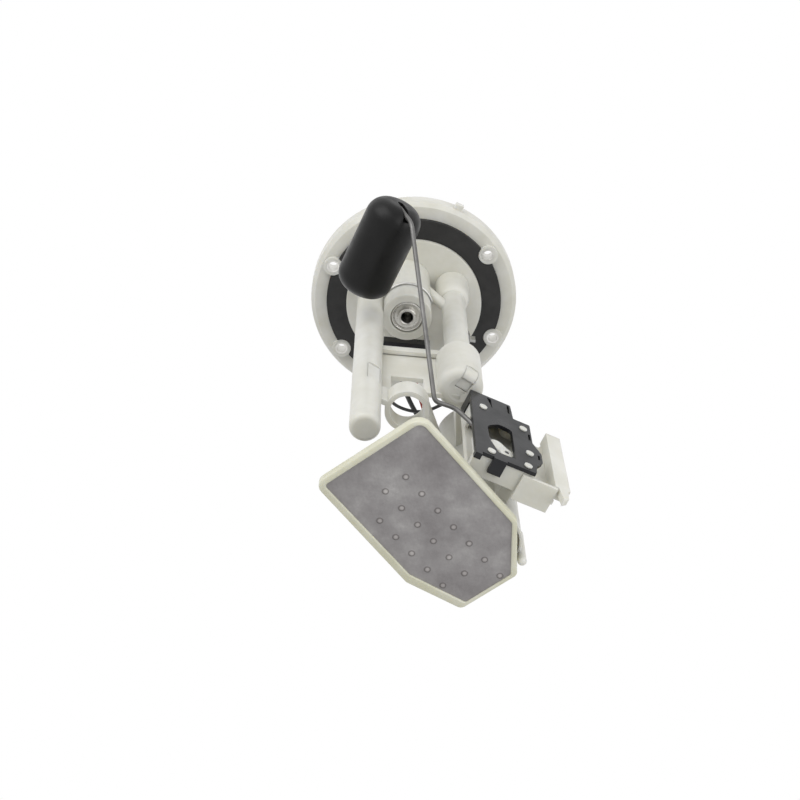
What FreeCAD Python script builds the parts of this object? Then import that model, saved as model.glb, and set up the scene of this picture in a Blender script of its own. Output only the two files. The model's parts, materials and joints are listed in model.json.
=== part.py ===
import FreeCAD, Part
import math
import os

# In-tank fuel pump module, sizes in millimetres.
# +Z is up as the module hangs in its tank. The origin is the centre of the bolt circle,
# on the underside of the flange. The level sender looks to the front, -Y.

# Flange
flange_radius = 65.0
flange_plate = 5.0
rim_height = 12.0
rim_wall = 3.5
rim_round = 2.5
plug_radius = 42.5
plug_depth = 6.0
plug_wall = 3.5
floor_thickness = 4.0
rib_count = 18
rib_height = 4.0
rib_thickness = 1.8
nub_angle = -71.0
nub_width = 5.0
nub_height = 4.0
nub_reach = 3.6
bolt_circle_radius = 56.0
bolt_count = 6
first_bolt_angle = 20.0
bushing_bore_radius = 3.0
bushing_wall = 1.0
boss_wall = 2.0
boss_height = 8.0
gasket_thickness = 3.2
gasket_outer_radius = 55.0
gasket_clearance = 0.4
boss_inset = 0.6

# Fuel nipple on top and hose nipple below
nipple_radius = 4.0
nipple_bore_radius = 2.6
nipple_height = 26.0
nipple_bead = 0.9
nipple_bead_height = 12.0
nipple_base_radius = 8.0
nipple_base_height = 6.0
hose_nipple_x = 30.0
hose_nipple_y = 14.0
hose_nipple_length = 20.0
hose_nipple_base = 6.0

# Posts under the flange
left_post_x = -28.0
left_post_y = -15.0
left_post_radius = 8.0
post_wall = 2.4
spigot_radius = 5.6
right_post_x = 22.5
right_post_y = -14.0
right_post_radius = 7.3
dome_radius = 10.5
dome_depth = 14.0
dome_taper = 11.0
post_shoulder_z = -110.0
spigot_length = 62.0
catch_reach = 1.4
catch_height = 5.0
catch_width = 5.0
strut_radius = 3.2
socket_clearance = 0.15

# Pressure regulator in its cup
cup_x = -6.0
cup_y = -15.0
cup_radius = 14.6
cup_bore_radius = 12.2
cup_end_z = -50.0
can_radius = 10.4
can_wall = 1.0
can_top_z = -9.0
can_skirt = 0.5
diaphragm_z = -25.0
diaphragm_thickness = 0.6
diaphragm_dish = 2.4
shell_end_z = -43.0
seal_thickness = 3.0
cap_thickness = 4.0
cap_opening_radius = 9.3
snout_radius = 4.8
snout_bore_radius = 3.5
snout_end_z = -64.0
snout_lip = 0.8
seat_gap_below_diaphragm = 2.0
valve_button_radius = 4.2
valve_stem_radius = 1.5
spring_plate_radius = 6.8
spring_plate_thickness = 1.0
regulator_spring_radius = 6.0
regulator_spring_wire = 1.2
inlet_hole_radius = 1.2
inlet_hole_count = 6
clip_wire_radius = 0.7
clip_height_in_cap = 2.0
clip_pin_depth = 4.0
clip_end_angle = 20.0
valve_lift = 0.8

# Electrical connector
shroud_x = -2.5
shroud_y = 27.0
shroud_length = 29.0
shroud_width = 14.0
shroud_wall = 1.5
shroud_height = 24.0
lower_shroud_depth = 8.0
pin_count = 4
pin_pitch = 6.0
pin_width = 1.6
pin_thickness = 0.8
pin_above_floor = 14.0
pin_below_floor = 9.0
plug_body_depth = 16.0
plug_clearance = 0.3

# Carrier
column_end_z = -212.0
column_round = 2.5
column_bore_end_z = -208.0
socket_radius = 12.5
socket_top_z = -118.0
socket_end_z = -155.5
socket_floor = 6.0
socket_round = 4.5
socket_dish_radius = 7.0
socket_dish_depth = 1.5
shelf_front_y = -14.0
shelf_back_y = 4.0
shelf_top_z = -105.0
shelf_thickness = 2.5
shelf_lip_depth = 5.5
shelf_lip_thickness = 2.5
wall_front_y = -10.8
wall_thickness = 2.8
wall_end_z = -155.0
collar_x = -5.9
collar_y = -8.8
collar_radius = 11.8
collar_bore_radius = 9.1
collar_bottom_z = -176.4
collar_length = 12.8
web_thickness = 3.0
latch_window_width = 8.0
latch_window_top_z = -149.0
latch_window_height = 18.0
latch_window_angle = -62.0

# Pump sleeve and pump
pump_x = 36.5
pump_y = 36.6
pump_radius = 18.8
sleeve_gap = 0.5
sleeve_wall = 1.5
sleeve_top_z = -112.0
sleeve_end_z = -215.0
sleeve_lip_thickness = 2.0
sleeve_lip_opening = 15.5
hook_width = 8.0
hook_height = 4.0
hook_catch = 1.2
hook_angles = (75.0, 165.0, 345.0)
lug_angle = 40.0
lug_radius = 3.4
lug_height = 16.0
lug_reach = 3.0
isolator_height = 8.0
isolator_upper_z = -140.0
isolator_lower_z = -200.0
casing_wall = 1.2
casing_top_z = -110.5
casing_end_z = -211.5
casing_lip = 1.2
casing_opening_radius = 15.8
shaft_radius = 1.5
shaft_clearance = 0.03
inlet_body_thickness = 11.3
inlet_nipple_radius = 6.0
inlet_nipple_bore = 4.2
inlet_nipple_end_z = -230.4
impeller_radius = 15.0
impeller_thickness = 3.9
impeller_pocket_depth = 4.0
impeller_clearance = 0.1
impeller_blades = 24
impeller_blade_depth = 2.2
impeller_slot_width = 1.3
chamber_thickness = 10.0
port_radius = 2.5
port_circle_radius = 11.0
bearing_radius = 3.0
bearing_length = 5.5
magnet_radius_inner = 12.9
magnet_height = 46.0
magnet_bottom_z = -184.0
magnet_arc = 140.0
armature_radius = 12.4
armature_slots = 8
armature_slot_width = 1.6
armature_slot_depth = 6.0
armature_bottom_z = -176.0
armature_height = 30.0
winding_radius = 10.5
winding_overhang = 6.0
commutator_radius = 9.5
commutator_height = 6.0
commutator_segments = 8
commutator_slit = 0.5
commutator_top_z = -131.0
brush_gap = 0.1
brush_length = 12.0
brush_width = 4.0
brush_depth = 5.0
brush_offset = 6.2
brush_clearance = 0.05
brush_spring_radius = 1.8
brush_spring_wire = 0.7
end_cap_bottom_z = -128.0
end_cap_top_z = -106.0
outlet_offset = 8.6
outlet_length = 15.0
outlet_seat_z = -104.0
outlet_seat_bore = 1.6
outlet_lip_bore = 1.9
outlet_lip_thickness = 3.0
check_valve_radius = 2.3
check_valve_head = 1.4
check_valve_stem_radius = 0.9
check_valve_stem_length = 4.0
check_spring_radius = 2.2
check_spring_bore = 1.3
terminal_offset_y = 8.5
terminal_offset_x = 3.5
terminal_width = 3.0
terminal_thickness = 0.8
terminal_height = 7.0
terminal_root = 6.0
pump_plug_length = 14.0
pump_plug_width = 10.0
pump_plug_height = 11.0

# Hose from the pump to the flange
hose_wall = 2.0
hose_drop_z = -80.0
hose_rise_z = -46.0
hose_overlap = 12.0
clamp_width = 6.0
clamp_thickness = 0.8
clamp_ear = 4.0

# Strainer, laid out along its own length u and width v
strainer_x = -26.0
strainer_y = -15.1
strainer_angle = 44.5
strainer_bottom_z = -236.0
strainer_height = 6.0
strainer_rim = 4.4
strainer_outline = ((0.0, 31.3, 5.0), (0.0, -31.3, 9.0), (75.2, -33.9, 3.0),
                    (103.6, -11.3, 3.0), (100.0, 22.3, 5.0), (70.1, 33.5, 3.0))
strainer_edge_round = 1.0
mesh_thickness = 0.6
mesh_recess = 1.0
peg_pitch = 12.4
peg_rows = ((22.6, -4.9), (22.6, 7.9), (33.8, 20.6))
peg_margin = 1.3
peg_radius = 1.3
dimple_radius = 3.2
dimple_depth = 1.1
core_bar_width = 1.6
core_bar_thickness = 1.2
strainer_boss_radius = 13.0
strainer_boss_thickness = 1.6
strainer_socket_wall = 2.5
strainer_socket_height = 14.0
strainer_rib_width = 5.0

# Level sender, laid out across a, forward b and up z from a point on the sleeve
sender_x = 35.0
sender_y = 36.0
sender_angle = 19.2
cover_front = 46.5
cover_thickness = 2.0
cover_top_z = -156.6
cover_outline = ((-24.1, cover_top_z, 0.8), (-0.3, cover_top_z, 0.8), (0.5, -171.5, 0.5), (10.1, -171.5, 0.8),
                 (10.2, -191.6, 1.5), (14.6, -200.8, 4.0), (14.4, -210.6, 4.0), (10.5, -216.9, 1.0),
                 (9.7, -224.7, 0.8), (-24.1, -225.1, 0.8))
window_outline = ((-1.5, -218.3, 0.6), (-1.5, -187.2, 2.0), (-8.5, -185.3, 6.0), (-15.9, -192.6, 6.0),
                  (-15.5, -206.7, 5.0), (-11.1, -218.3, 0.8))
notch_outline = ((-14.4, -158.3), (-12.0, -158.8), (-11.7, -169.8))
slit_places = ((-1.9, -162.9, 4.5), (8.7, -186.4, 3.2), (12.6, -205.9, 2.3))
slit_width = 1.2
body_plate_back = 32.5
body_plate_thickness = 3.0
body_side_wall = 1.8
body_inset = 0.8
rail_base = 19.6
rail_neck = 29.5
rail_front = 33.5
rail_half_width = 3.5
rail_flare = 2.0
rail_top_z = -160.0
rail_end_z = -214.0
rail_clearance = 0.15
rail_block_half_width = 8.5
rail_centre = 3.5
rail_block_back = 30.2
pivot_a = -4.7
pivot_z = -209.3
stake_places = ((-17.3, -172.6), (-15.3, -220.6), (5.6, -179.4), (7.3, -205.6), (5.2, -220.4))
stake_radius = 1.7
stake_head_radius = 2.2
stake_head_height = 0.7
arm_opening_top_z = -181.0
arm_opening_end_z = -220.0
wing_front = 43.5
wing_depth = 7.0
wing_low = 22.1
wing_high = 30.4
wing_top_z = -165.1
wing_end_z = -223.5
wing_hook_z = -235.7
wing_web_front = 37.0
wing_web_thickness = 2.5
wing_wall = 1.8
foot_plate_back = 29.0
foot_plate_thickness = 2.2
foot_plate_z = -226.6
foot_plate_low = 3.7
tab_half_width = 3.6
tab_depth = 9.0
tab_centre = -10.3
tab_thickness = 1.4
contact_places = (-12.5, -8.0)
contact_width = 1.8
contact_thickness = 1.0
contact_back = 36.5
contact_stand = 2.0
contact_length = 6.0

# Sender works
card_thickness = 0.8
card_radius_outer = 24.0
hub_radius = 5.4
rotor_gap = 1.4
rotor_front = 44.1
rotor_arm_width = 7.0
rotor_arm_length = 19.0
rotor_arm_angle = 131.0
wiper_thickness = 0.3
wiper_width = 4.0
wiper_gap = 0.2

# Float and its arm
wire_radius = 1.25
wire_plane = 42.3
wire_clearance = 0.05
wire_pin_end = 33.1
wire_knee = (-31.7, -178.2)
wire_elbow = (-43.8, -180.4)
float_a = -91.5
float_z = -85.6
float_radius = 15.2
float_front = 104.6
float_rear = 47.6
wire_reach = 114.6
wire_end = 60.0
pin_bend = 3.0
knee_bend = 9.0
elbow_bend = 7.0
top_bend = 6.0

# Leads, each with the corners of its route between its two ends
lead_radius_thick = 1.4
lead_radius_thin = 0.95
lead_pump_negative_corners = ((-5.5, 27.0, -42.0), (-5.0, 25.0, -70.0), (0.0, 28.0, -90.0), (8.0, 36.0, -100.0),
                              (18.0, 42.7, -101.5))
lead_pump_positive_corners = ((0.5, 27.0, -41.0), (2.0, 24.5, -62.0), (6.0, 28.0, -80.0), (12.0, 39.0, -93.0),
                              (19.0, 47.5, -98.5))
lead_sender_signal_corners = ((-11.5, 27.0, -40.0), (-14.0, 27.0, -58.0), (-14.5, 27.5, -77.0),
                              (-11.0, 27.5, -94.0), (-1.0, 28.0, -101.0), (9.0, 26.5, -103.0),
                              (18.0, 19.0, -106.0), (26.5, 10.0, -113.0), (32.5, 2.5, -125.0),
                              (35.4, -3.0, -139.0))
lead_sender_ground_corners = ((6.5, 27.0, -38.0), (8.0, 25.0, -56.0), (11.0, 22.0, -74.0), (17.0, 17.0, -91.0),
                              (27.0, 10.0, -105.0), (35.0, 4.0, -120.0), (39.4, -1.4, -137.0))
lead_height_low = -101.5
lead_height_high = -98.5
lead_spread = 2.4

segment = 1.0e-4
through = 1.0


def vector(x, y, z=0.0):
    return FreeCAD.Vector(x, y, z)


def cylinder(radius, low, high, x=0.0, y=0.0):
    return Part.makeCylinder(radius, high - low, vector(x, y, low))


def tube(outer, inner, low, high, x=0.0, y=0.0):
    solid = cylinder(outer, low, high, x, y)
    return solid.cut(cylinder(inner, low - through, high + through, x, y))


def block(x0, x1, y0, y1, z0, z1):
    return Part.makeBox(x1 - x0, y1 - y0, z1 - z0, vector(x0, y0, z0))


def turned(profile, x=0.0, y=0.0):
    """Solid of revolution about the vertical line through x, y; the profile is (radius, z)."""
    points = [vector(radius, 0.0, z) for radius, z in profile]
    face = Part.Face(Part.makePolygon(points + [points[0]]))
    solid = face.revolve(vector(0, 0, 0), vector(0, 0, 1), 360.0)
    solid.translate(vector(x, y))
    return solid


def rounded_wire(corners, place):
    """Closed outline with an arc at each corner; corners are (p, q, radius)."""
    count = len(corners)
    tangents = []
    for index in range(count):
        here = vector(corners[index][0], corners[index][1])
        before = vector(*corners[index - 1][:2])
        after = vector(*corners[(index + 1) % count][:2])
        to_before = (before - here).normalize()
        to_after = (after - here).normalize()
        half = 0.5 * to_before.getAngle(to_after)
        radius = corners[index][2]
        reach = radius / math.tan(half)
        bisector = (to_before + to_after).normalize()
        start = here + to_before * reach
        end = here + to_after * reach
        middle = here + bisector * (radius / math.sin(half) - radius)
        tangents.append((start, middle, end))
    edges = []
    for index in range(count):
        start, middle, end = [place(point.x, point.y) for point in tangents[index]]
        edges.append(Part.Arc(start, middle, end).toShape())
        following = place(tangents[(index + 1) % count][0].x, tangents[(index + 1) % count][0].y)
        if end.distanceToPoint(following) > segment:
            edges.append(Part.LineSegment(end, following).toShape())
    return Part.Wire(edges)


def fused(solids):
    result = solids[0]
    for solid in solids[1:]:
        result = result.fuse(solid)
    return result.removeSplitter()


def cut_all(solid, tools):
    for tool in tools:
        solid = solid.cut(tool)
    return solid


def around(solid, angle, x=0.0, y=0.0):
    copy = solid.copy()
    copy.rotate(vector(x, y), vector(0, 0, 1), angle)
    return copy


def bent_rod(points, radii, radius):
    """Round rod along straight runs joined by tangent arcs."""
    edges = []
    start = points[0]
    for index in range(1, len(points) - 1):
        here = points[index]
        to_before = (points[index - 1] - here).normalize()
        to_after = (points[index + 1] - here).normalize()
        half = 0.5 * to_before.getAngle(to_after)
        bend = radii[index - 1]
        reach = bend / math.tan(half)
        arc_start = here + to_before * reach
        arc_end = here + to_after * reach
        middle = here + (to_before + to_after).normalize() * (bend / math.sin(half) - bend)
        edges.append(Part.LineSegment(start, arc_start).toShape())
        edges.append(Part.Arc(arc_start, middle, arc_end).toShape())
        start = arc_end
    edges.append(Part.LineSegment(start, points[-1]).toShape())
    path = Part.Wire(edges)
    profile = Part.Wire(Part.makeCircle(radius, points[0], points[1] - points[0]))
    return path.makePipeShell([profile], True, False), path.Length


def cord(name, route, radius):
    """Lead or hose whose arcs are as large as its runs allow."""
    points = [vector(*point) for point in route]
    radii = []
    for index in range(1, len(points) - 1):
        before = points[index] - points[index - 1]
        after = points[index + 1] - points[index]
        half_turn = 0.5 * before.getAngle(after)
        radii.append(0.45 * min(before.Length, after.Length) / math.tan(half_turn))
    solid, length = bent_rod(points, radii, radius)
    expected = math.pi * radius ** 2 * length
    print(name, "length", round(length, 1), "radii", [round(bend, 1) for bend in radii],
          "volume ratio", round(solid.Volume / expected, 4))
    return solid


def save(name, shape):
    shape.exportStep("parts/" + name + ".step")
    print(name, len(shape.Solids), "valid" if shape.isValid() else "NOT VALID", round(shape.Volume, 1))


def save_group(name, solids):
    save(name, Part.makeCompound(solids))


def bolt_places():
    places = []
    for index in range(bolt_count):
        angle = math.radians(first_bolt_angle + index * 360.0 / bolt_count)
        places.append((bolt_circle_radius * math.cos(angle), bolt_circle_radius * math.sin(angle)))
    return places


floor_bottom_z = -plug_depth
floor_top_z = floor_bottom_z + floor_thickness
bushing_radius = bushing_bore_radius + bushing_wall
boss_radius = bushing_radius + boss_wall
boss_bottom_z = -(gasket_thickness - boss_inset)
sleeve_bore_radius = pump_radius + sleeve_gap
sleeve_radius = sleeve_bore_radius + sleeve_wall
casing_bore_radius = pump_radius - casing_wall


# Flange moulding


def flange_disc():
    disc = turned(((plug_radius - plug_wall, floor_bottom_z), (plug_radius, floor_bottom_z), (plug_radius, 0.0),
                   (flange_radius - rim_round, 0.0), (flange_radius, rim_round), (flange_radius, rim_height),
                   (flange_radius - rim_wall, rim_height), (flange_radius - rim_wall, flange_plate),
                   (plug_radius - plug_wall, flange_plate)))
    floor = cylinder(plug_radius - plug_wall, floor_bottom_z, floor_top_z)
    pieces = [disc, floor]
    for index in range(rib_count):
        rib = block(plug_radius - plug_wall, flange_radius - rim_wall, -rib_thickness / 2, rib_thickness / 2,
                    flange_plate, flange_plate + rib_height)
        pieces.append(around(rib, (index + 0.5) * 360.0 / rib_count))
    nub = block(flange_radius - rim_wall, flange_radius + nub_reach, -nub_width / 2, nub_width / 2,
                rim_round, rim_round + nub_height)
    pieces.append(around(nub, nub_angle))
    for x, y in bolt_places():
        pieces.append(cylinder(boss_radius, boss_bottom_z, boss_height, x, y))
    return pieces


def left_post():
    post = cylinder(left_post_radius, post_shoulder_z, floor_bottom_z, left_post_x, left_post_y)
    spigot_end_z = post_shoulder_z - spigot_length
    spigot = cylinder(spigot_radius, spigot_end_z, post_shoulder_z, left_post_x, left_post_y)
    bore = cylinder(spigot_radius - post_wall, spigot_end_z - through, floor_bottom_z - post_wall,
                    left_post_x, left_post_y)
    return post.fuse(spigot).cut(bore)


def catch(x, y, post_radius, low_z):
    """Wedge on a post that snaps into the latch window of its socket."""
    profile = (vector(post_radius - catch_reach, 0.0, low_z), vector(post_radius, 0.0, low_z),
               vector(post_radius + catch_reach, 0.0, low_z + catch_height),
               vector(post_radius - catch_reach, 0.0, low_z + catch_height))
    face = Part.Face(Part.makePolygon(list(profile) + [profile[0]]))
    wedge = face.extrude(vector(0, catch_width, 0))
    wedge.translate(vector(x, y - catch_width / 2))
    return around(wedge, latch_window_angle, x, y)


def right_post():
    dome_end_z = floor_bottom_z - dome_depth
    taper_end_z = dome_end_z - dome_taper
    end_z = socket_end_z + socket_floor
    inner = right_post_radius - post_wall
    arc = []
    steps = 6
    for step in range(steps + 1):
        turn = step * math.pi / 2 / steps
        arc.append((right_post_radius + (dome_radius - right_post_radius) * math.cos(turn),
                    dome_end_z - dome_taper * math.sin(turn)))
    profile = [(inner, floor_bottom_z), (dome_radius, floor_bottom_z)] + arc
    profile += [(right_post_radius, end_z), (inner, end_z)]
    post = turned(profile, right_post_x, right_post_y)
    plug = cylinder(inner, taper_end_z, floor_bottom_z, right_post_x, right_post_y)
    return post.fuse(plug)


def strut():
    """Sloping fuel passage between the regulator cup and the right post."""
    start = vector(cup_x + cup_radius - strut_radius, cup_y - strut_radius, cup_end_z / 2)
    end = vector(right_post_x, right_post_y, cup_end_z)
    return Part.makeCylinder(strut_radius, (end - start).Length, start, end - start)


def regulator_cup():
    cup = cylinder(cup_radius, cup_end_z, floor_bottom_z, cup_x, cup_y)
    return cup


def regulator_cup_bore():
    return cylinder(cup_bore_radius, cup_end_z - through, floor_bottom_z, cup_x, cup_y)


def clip_ends():
    """Where the bow of the retaining wire ends, with the way inward from there."""
    height = cup_end_z + clip_height_in_cap
    major = cup_radius + clip_wire_radius
    ends = []
    for degrees in (-clip_end_angle, 180.0 + clip_end_angle):
        outward = vector(math.cos(math.radians(degrees)), math.sin(math.radians(degrees)))
        ends.append((vector(cup_x, cup_y, height) + outward * major, outward * -1.0))
    return ends


def clip_pins():
    """The two inward ends of the retaining wire."""
    return [Part.makeCylinder(clip_wire_radius, clip_pin_depth, end, inward) for end, inward in clip_ends()]


def shroud_box(wall, low, high):
    return block(shroud_x - shroud_length / 2 + wall, shroud_x + shroud_length / 2 - wall,
                 shroud_y - shroud_width / 2 + wall, shroud_y + shroud_width / 2 - wall, low, high)


def pin_x(index):
    return shroud_x + (index - (pin_count - 1) / 2) * pin_pitch


def pin_slots(clearance):
    slots = []
    for index in range(pin_count):
        x = pin_x(index)
        slots.append(block(x - pin_width / 2 - clearance, x + pin_width / 2 + clearance,
                           shroud_y - pin_thickness / 2 - clearance, shroud_y + pin_thickness / 2 + clearance,
                           floor_bottom_z - pin_below_floor, floor_top_z + pin_above_floor))
    return slots


def upper_shroud():
    shell = shroud_box(0.0, floor_top_z, floor_top_z + shroud_height)
    shell = shell.makeFillet(2.0, [edge for edge in shell.Edges if abs(edge.tangentAt(0).z) > 0.9])
    return shell.cut(shroud_box(shroud_wall, floor_top_z, floor_top_z + shroud_height + through))


def lower_shroud():
    shell = shroud_box(0.0, floor_bottom_z - lower_shroud_depth, floor_bottom_z)
    return shell.cut(shroud_box(shroud_wall, floor_bottom_z - lower_shroud_depth - through, floor_bottom_z))


def feed_nipple():
    base = turned(((0.0, floor_top_z), (nipple_base_radius, floor_top_z),
                   (nipple_base_radius, floor_top_z + nipple_base_height),
                   (nipple_radius, floor_top_z + nipple_base_height + nipple_radius),
                   (nipple_radius, nipple_bead_height - nipple_bead),
                   (nipple_radius + nipple_bead, nipple_bead_height),
                   (nipple_radius, nipple_bead_height + nipple_bead),
                   (nipple_radius, nipple_height - nipple_bead),
                   (nipple_radius - nipple_bead, nipple_height), (0.0, nipple_height)),
                  right_post_x, right_post_y)
    return base


def hose_nipple():
    end_z = floor_bottom_z - hose_nipple_length
    return turned(((0.0, floor_bottom_z), (hose_nipple_base, floor_bottom_z),
                   (nipple_radius, floor_bottom_z - hose_nipple_base),
                   (nipple_radius, end_z + nipple_bead), (nipple_radius - nipple_bead, end_z), (0.0, end_z)),
                  hose_nipple_x, hose_nipple_y)


def gallery():
    """Fuel passages drilled through the flange floor."""
    mid_z = (floor_bottom_z + floor_top_z) / 2
    cuts = [cylinder(nipple_bore_radius, floor_bottom_z - hose_nipple_length - through, mid_z,
                     hose_nipple_x, hose_nipple_y),
            cylinder(nipple_bore_radius, mid_z, nipple_height + through, right_post_x, right_post_y)]
    start = vector(hose_nipple_x, hose_nipple_y, mid_z)
    run = vector(right_post_x, right_post_y, mid_z) - start
    cuts.append(Part.makeCylinder(floor_thickness / 4, run.Length, start, run))
    start = vector(right_post_x, right_post_y, mid_z)
    run = vector(cup_x, cup_y, mid_z) - start
    cuts.append(Part.makeCylinder(floor_thickness / 4, run.Length, start, run))
    cuts.append(cylinder(floor_thickness / 4, floor_bottom_z - through, mid_z, cup_x, cup_y))
    return cuts


def make_flange():
    pieces = flange_disc()
    pieces += [regulator_cup(), left_post(), right_post(), strut()]
    pieces += [upper_shroud(), lower_shroud(), feed_nipple(), hose_nipple()]
    pieces.append(catch(left_post_x, left_post_y, spigot_radius, latch_window_top_z - catch_height * 2))
    pieces.append(catch(right_post_x, right_post_y, right_post_radius, latch_window_top_z - catch_height))
    flange = fused(pieces)
    cuts = [regulator_cup_bore()] + clip_pins() + pin_slots(0.0) + gallery()
    cuts.append(cylinder(right_post_radius - post_wall, socket_end_z, floor_bottom_z - dome_depth - dome_taper,
                         right_post_x, right_post_y))
    for x, y in bolt_places():
        cuts.append(cylinder(bushing_radius, boss_bottom_z - through, boss_height + through, x, y))
    return cut_all(flange, cuts)


def make_bushings():
    return [tube(bushing_radius, bushing_bore_radius, boss_bottom_z, boss_height, x, y) for x, y in bolt_places()]


def make_gasket():
    ring = tube(gasket_outer_radius, plug_radius, -gasket_thickness, 0.0)
    ears = [cylinder(boss_radius + gasket_clearance, -gasket_thickness - through, through, x, y)
            for x, y in bolt_places()]
    return cut_all(ring, ears)


# Electrical pieces


def make_pins():
    return pin_slots(0.0)


harness_end_z = floor_bottom_z - plug_body_depth


def make_harness_plug():
    body = shroud_box(shroud_wall, harness_end_z, floor_bottom_z)
    grip = shroud_box(0.0, harness_end_z, floor_bottom_z - lower_shroud_depth - plug_clearance)
    return cut_all(body.fuse(grip).removeSplitter(), pin_slots(0.0))


# Pressure regulator


def make_regulator_can():
    rim_z = diaphragm_z + diaphragm_thickness
    skirt_radius = can_radius + can_skirt
    can = turned(((0.0, can_top_z - can_wall), (can_radius - can_wall, can_top_z - can_wall),
                  (can_radius - can_wall, rim_z), (can_radius, rim_z),
                  (can_radius, diaphragm_z - 2 * can_wall), (skirt_radius, diaphragm_z - 2 * can_wall),
                  (skirt_radius, rim_z + can_wall), (can_radius, rim_z + 2 * can_wall),
                  (can_radius, can_top_z - can_wall), (can_radius - can_wall, can_top_z), (0.0, can_top_z)),
                 cup_x, cup_y)
    return can


def make_regulator_shell():
    shell = turned(((snout_radius, shell_end_z), (can_radius - can_wall, shell_end_z),
                    (can_radius, shell_end_z + can_wall), (can_radius, diaphragm_z),
                    (can_radius - can_wall, diaphragm_z), (can_radius - can_wall, shell_end_z + can_wall),
                    (snout_radius, shell_end_z + can_wall)), cup_x, cup_y)
    holes = []
    height = shell_end_z + 3.5 * inlet_hole_radius
    for index in range(inlet_hole_count):
        angle = math.radians(index * 360.0 / inlet_hole_count)
        direction = vector(math.cos(angle), math.sin(angle))
        holes.append(Part.makeCylinder(inlet_hole_radius, can_radius + through, vector(cup_x, cup_y, height),
                                       direction))
    return cut_all(shell, holes)


def make_regulator_snout():
    seat_z = diaphragm_z - diaphragm_dish - seat_gap_below_diaphragm
    return turned(((snout_bore_radius, seat_z), (snout_radius, seat_z), (snout_radius, snout_end_z + snout_lip),
                   (snout_radius - snout_lip, snout_end_z), (snout_bore_radius, snout_end_z)), cup_x, cup_y)


def make_regulator_diaphragm():
    low = diaphragm_z - diaphragm_dish
    inner_foot = spring_plate_radius + 0.8
    outer_foot = inner_foot + 1.4
    thick = diaphragm_thickness
    return turned(((valve_stem_radius, low), (inner_foot, low), (outer_foot, diaphragm_z),
                   (can_radius, diaphragm_z), (can_radius, diaphragm_z + thick),
                   (outer_foot - thick / 2, diaphragm_z + thick), (inner_foot - thick / 2, low + thick),
                   (valve_stem_radius, low + thick)), cup_x, cup_y)


def make_regulator_valve():
    low = diaphragm_z - diaphragm_dish
    button = cylinder(valve_button_radius, low - seat_gap_below_diaphragm, low, cup_x, cup_y)
    stem = cylinder(valve_stem_radius, low, low + diaphragm_thickness, cup_x, cup_y)
    plate = cylinder(spring_plate_radius, low + diaphragm_thickness,
                     low + diaphragm_thickness + spring_plate_thickness, cup_x, cup_y)
    return fused([button, stem, plate])


def make_regulator_spring():
    low = diaphragm_z - diaphragm_dish + diaphragm_thickness + spring_plate_thickness
    return tube(regulator_spring_radius, regulator_spring_radius - regulator_spring_wire, low,
                can_top_z - can_wall, cup_x, cup_y)


def make_regulator_ring():
    section = (cup_bore_radius - can_radius) / 2
    height = (can_top_z + diaphragm_z) / 2
    return Part.makeTorus(can_radius + section, section, vector(cup_x, cup_y, height))


def make_regulator_seal():
    return tube(cup_bore_radius, snout_radius, shell_end_z - seal_thickness, shell_end_z, cup_x, cup_y)


def make_regulator_cap():
    cap = tube(cup_bore_radius, cap_opening_radius, cup_end_z, cup_end_z + cap_thickness, cup_x, cup_y)
    return cut_all(cap, clip_pins())


def make_regulator_clip():
    height = cup_end_z + clip_height_in_cap
    major = cup_radius + clip_wire_radius
    sweep = 180.0 - 2.0 * clip_end_angle
    bow = Part.makeTorus(major, clip_wire_radius, vector(0, 0, 0), vector(0, 0, 1), 0.0, 360.0, sweep)
    bow.rotate(vector(0, 0), vector(0, 0, 1), 180.0 + clip_end_angle)
    bow.translate(vector(cup_x, cup_y, height))
    knuckles = [Part.makeSphere(clip_wire_radius, end) for end, inward in clip_ends()]
    return fused([bow] + knuckles + clip_pins())


# Carrier moulding


def web(x0, y0, x1, y1, low, high):
    """Upright plate between two points of the plan."""
    run = vector(x1 - x0, y1 - y0)
    plate = Part.makeBox(run.Length, web_thickness, high - low, vector(0, -web_thickness / 2, low))
    plate.rotate(vector(0, 0), vector(0, 0, 1), math.degrees(math.atan2(run.y, run.x)))
    plate.translate(vector(x0, y0))
    return plate


def left_column():
    column = cylinder(left_post_radius, column_end_z, post_shoulder_z, left_post_x, left_post_y)
    bottom = [edge for edge in column.Edges if abs(edge.BoundBox.ZMax - column_end_z) < segment]
    return column.makeFillet(column_round, bottom)


def right_socket():
    socket = cylinder(socket_radius, socket_end_z, socket_top_z, right_post_x, right_post_y)
    bottom = [edge for edge in socket.Edges if abs(edge.BoundBox.ZMax - socket_end_z) < segment]
    socket = socket.makeFillet(socket_round, bottom)
    dish = Part.makeCone(socket_dish_radius, socket_dish_radius / 2, socket_dish_depth,
                         vector(right_post_x, right_post_y, socket_end_z))
    return socket.cut(dish)


def socket_bores():
    left = cylinder(spigot_radius + socket_clearance, column_bore_end_z, post_shoulder_z + through,
                    left_post_x, left_post_y)
    right = cylinder(right_post_radius + socket_clearance, socket_end_z + socket_floor, socket_top_z + through,
                     right_post_x, right_post_y)
    return [left, right]


def latch_windows():
    windows = []
    for x, y, radius in ((left_post_x, left_post_y, left_post_radius),
                         (right_post_x, right_post_y, socket_radius)):
        window = block(0.0, radius + through, -latch_window_width / 2, latch_window_width / 2,
                       latch_window_top_z - latch_window_height, latch_window_top_z)
        window.translate(vector(x, y))
        windows.append(around(window, latch_window_angle, x, y))
    return windows


def shelf():
    deck = block(left_post_x, right_post_x, shelf_front_y, shelf_back_y, shelf_top_z - shelf_thickness, shelf_top_z)
    lip = block(left_post_x, right_post_x, shelf_front_y, shelf_front_y + shelf_lip_thickness,
                shelf_top_z - shelf_lip_depth, shelf_top_z)
    wall = block(left_post_x, right_post_x, wall_front_y, wall_front_y + wall_thickness, wall_end_z,
                 shelf_top_z - shelf_thickness / 2)
    return [deck, lip, wall]


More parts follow.
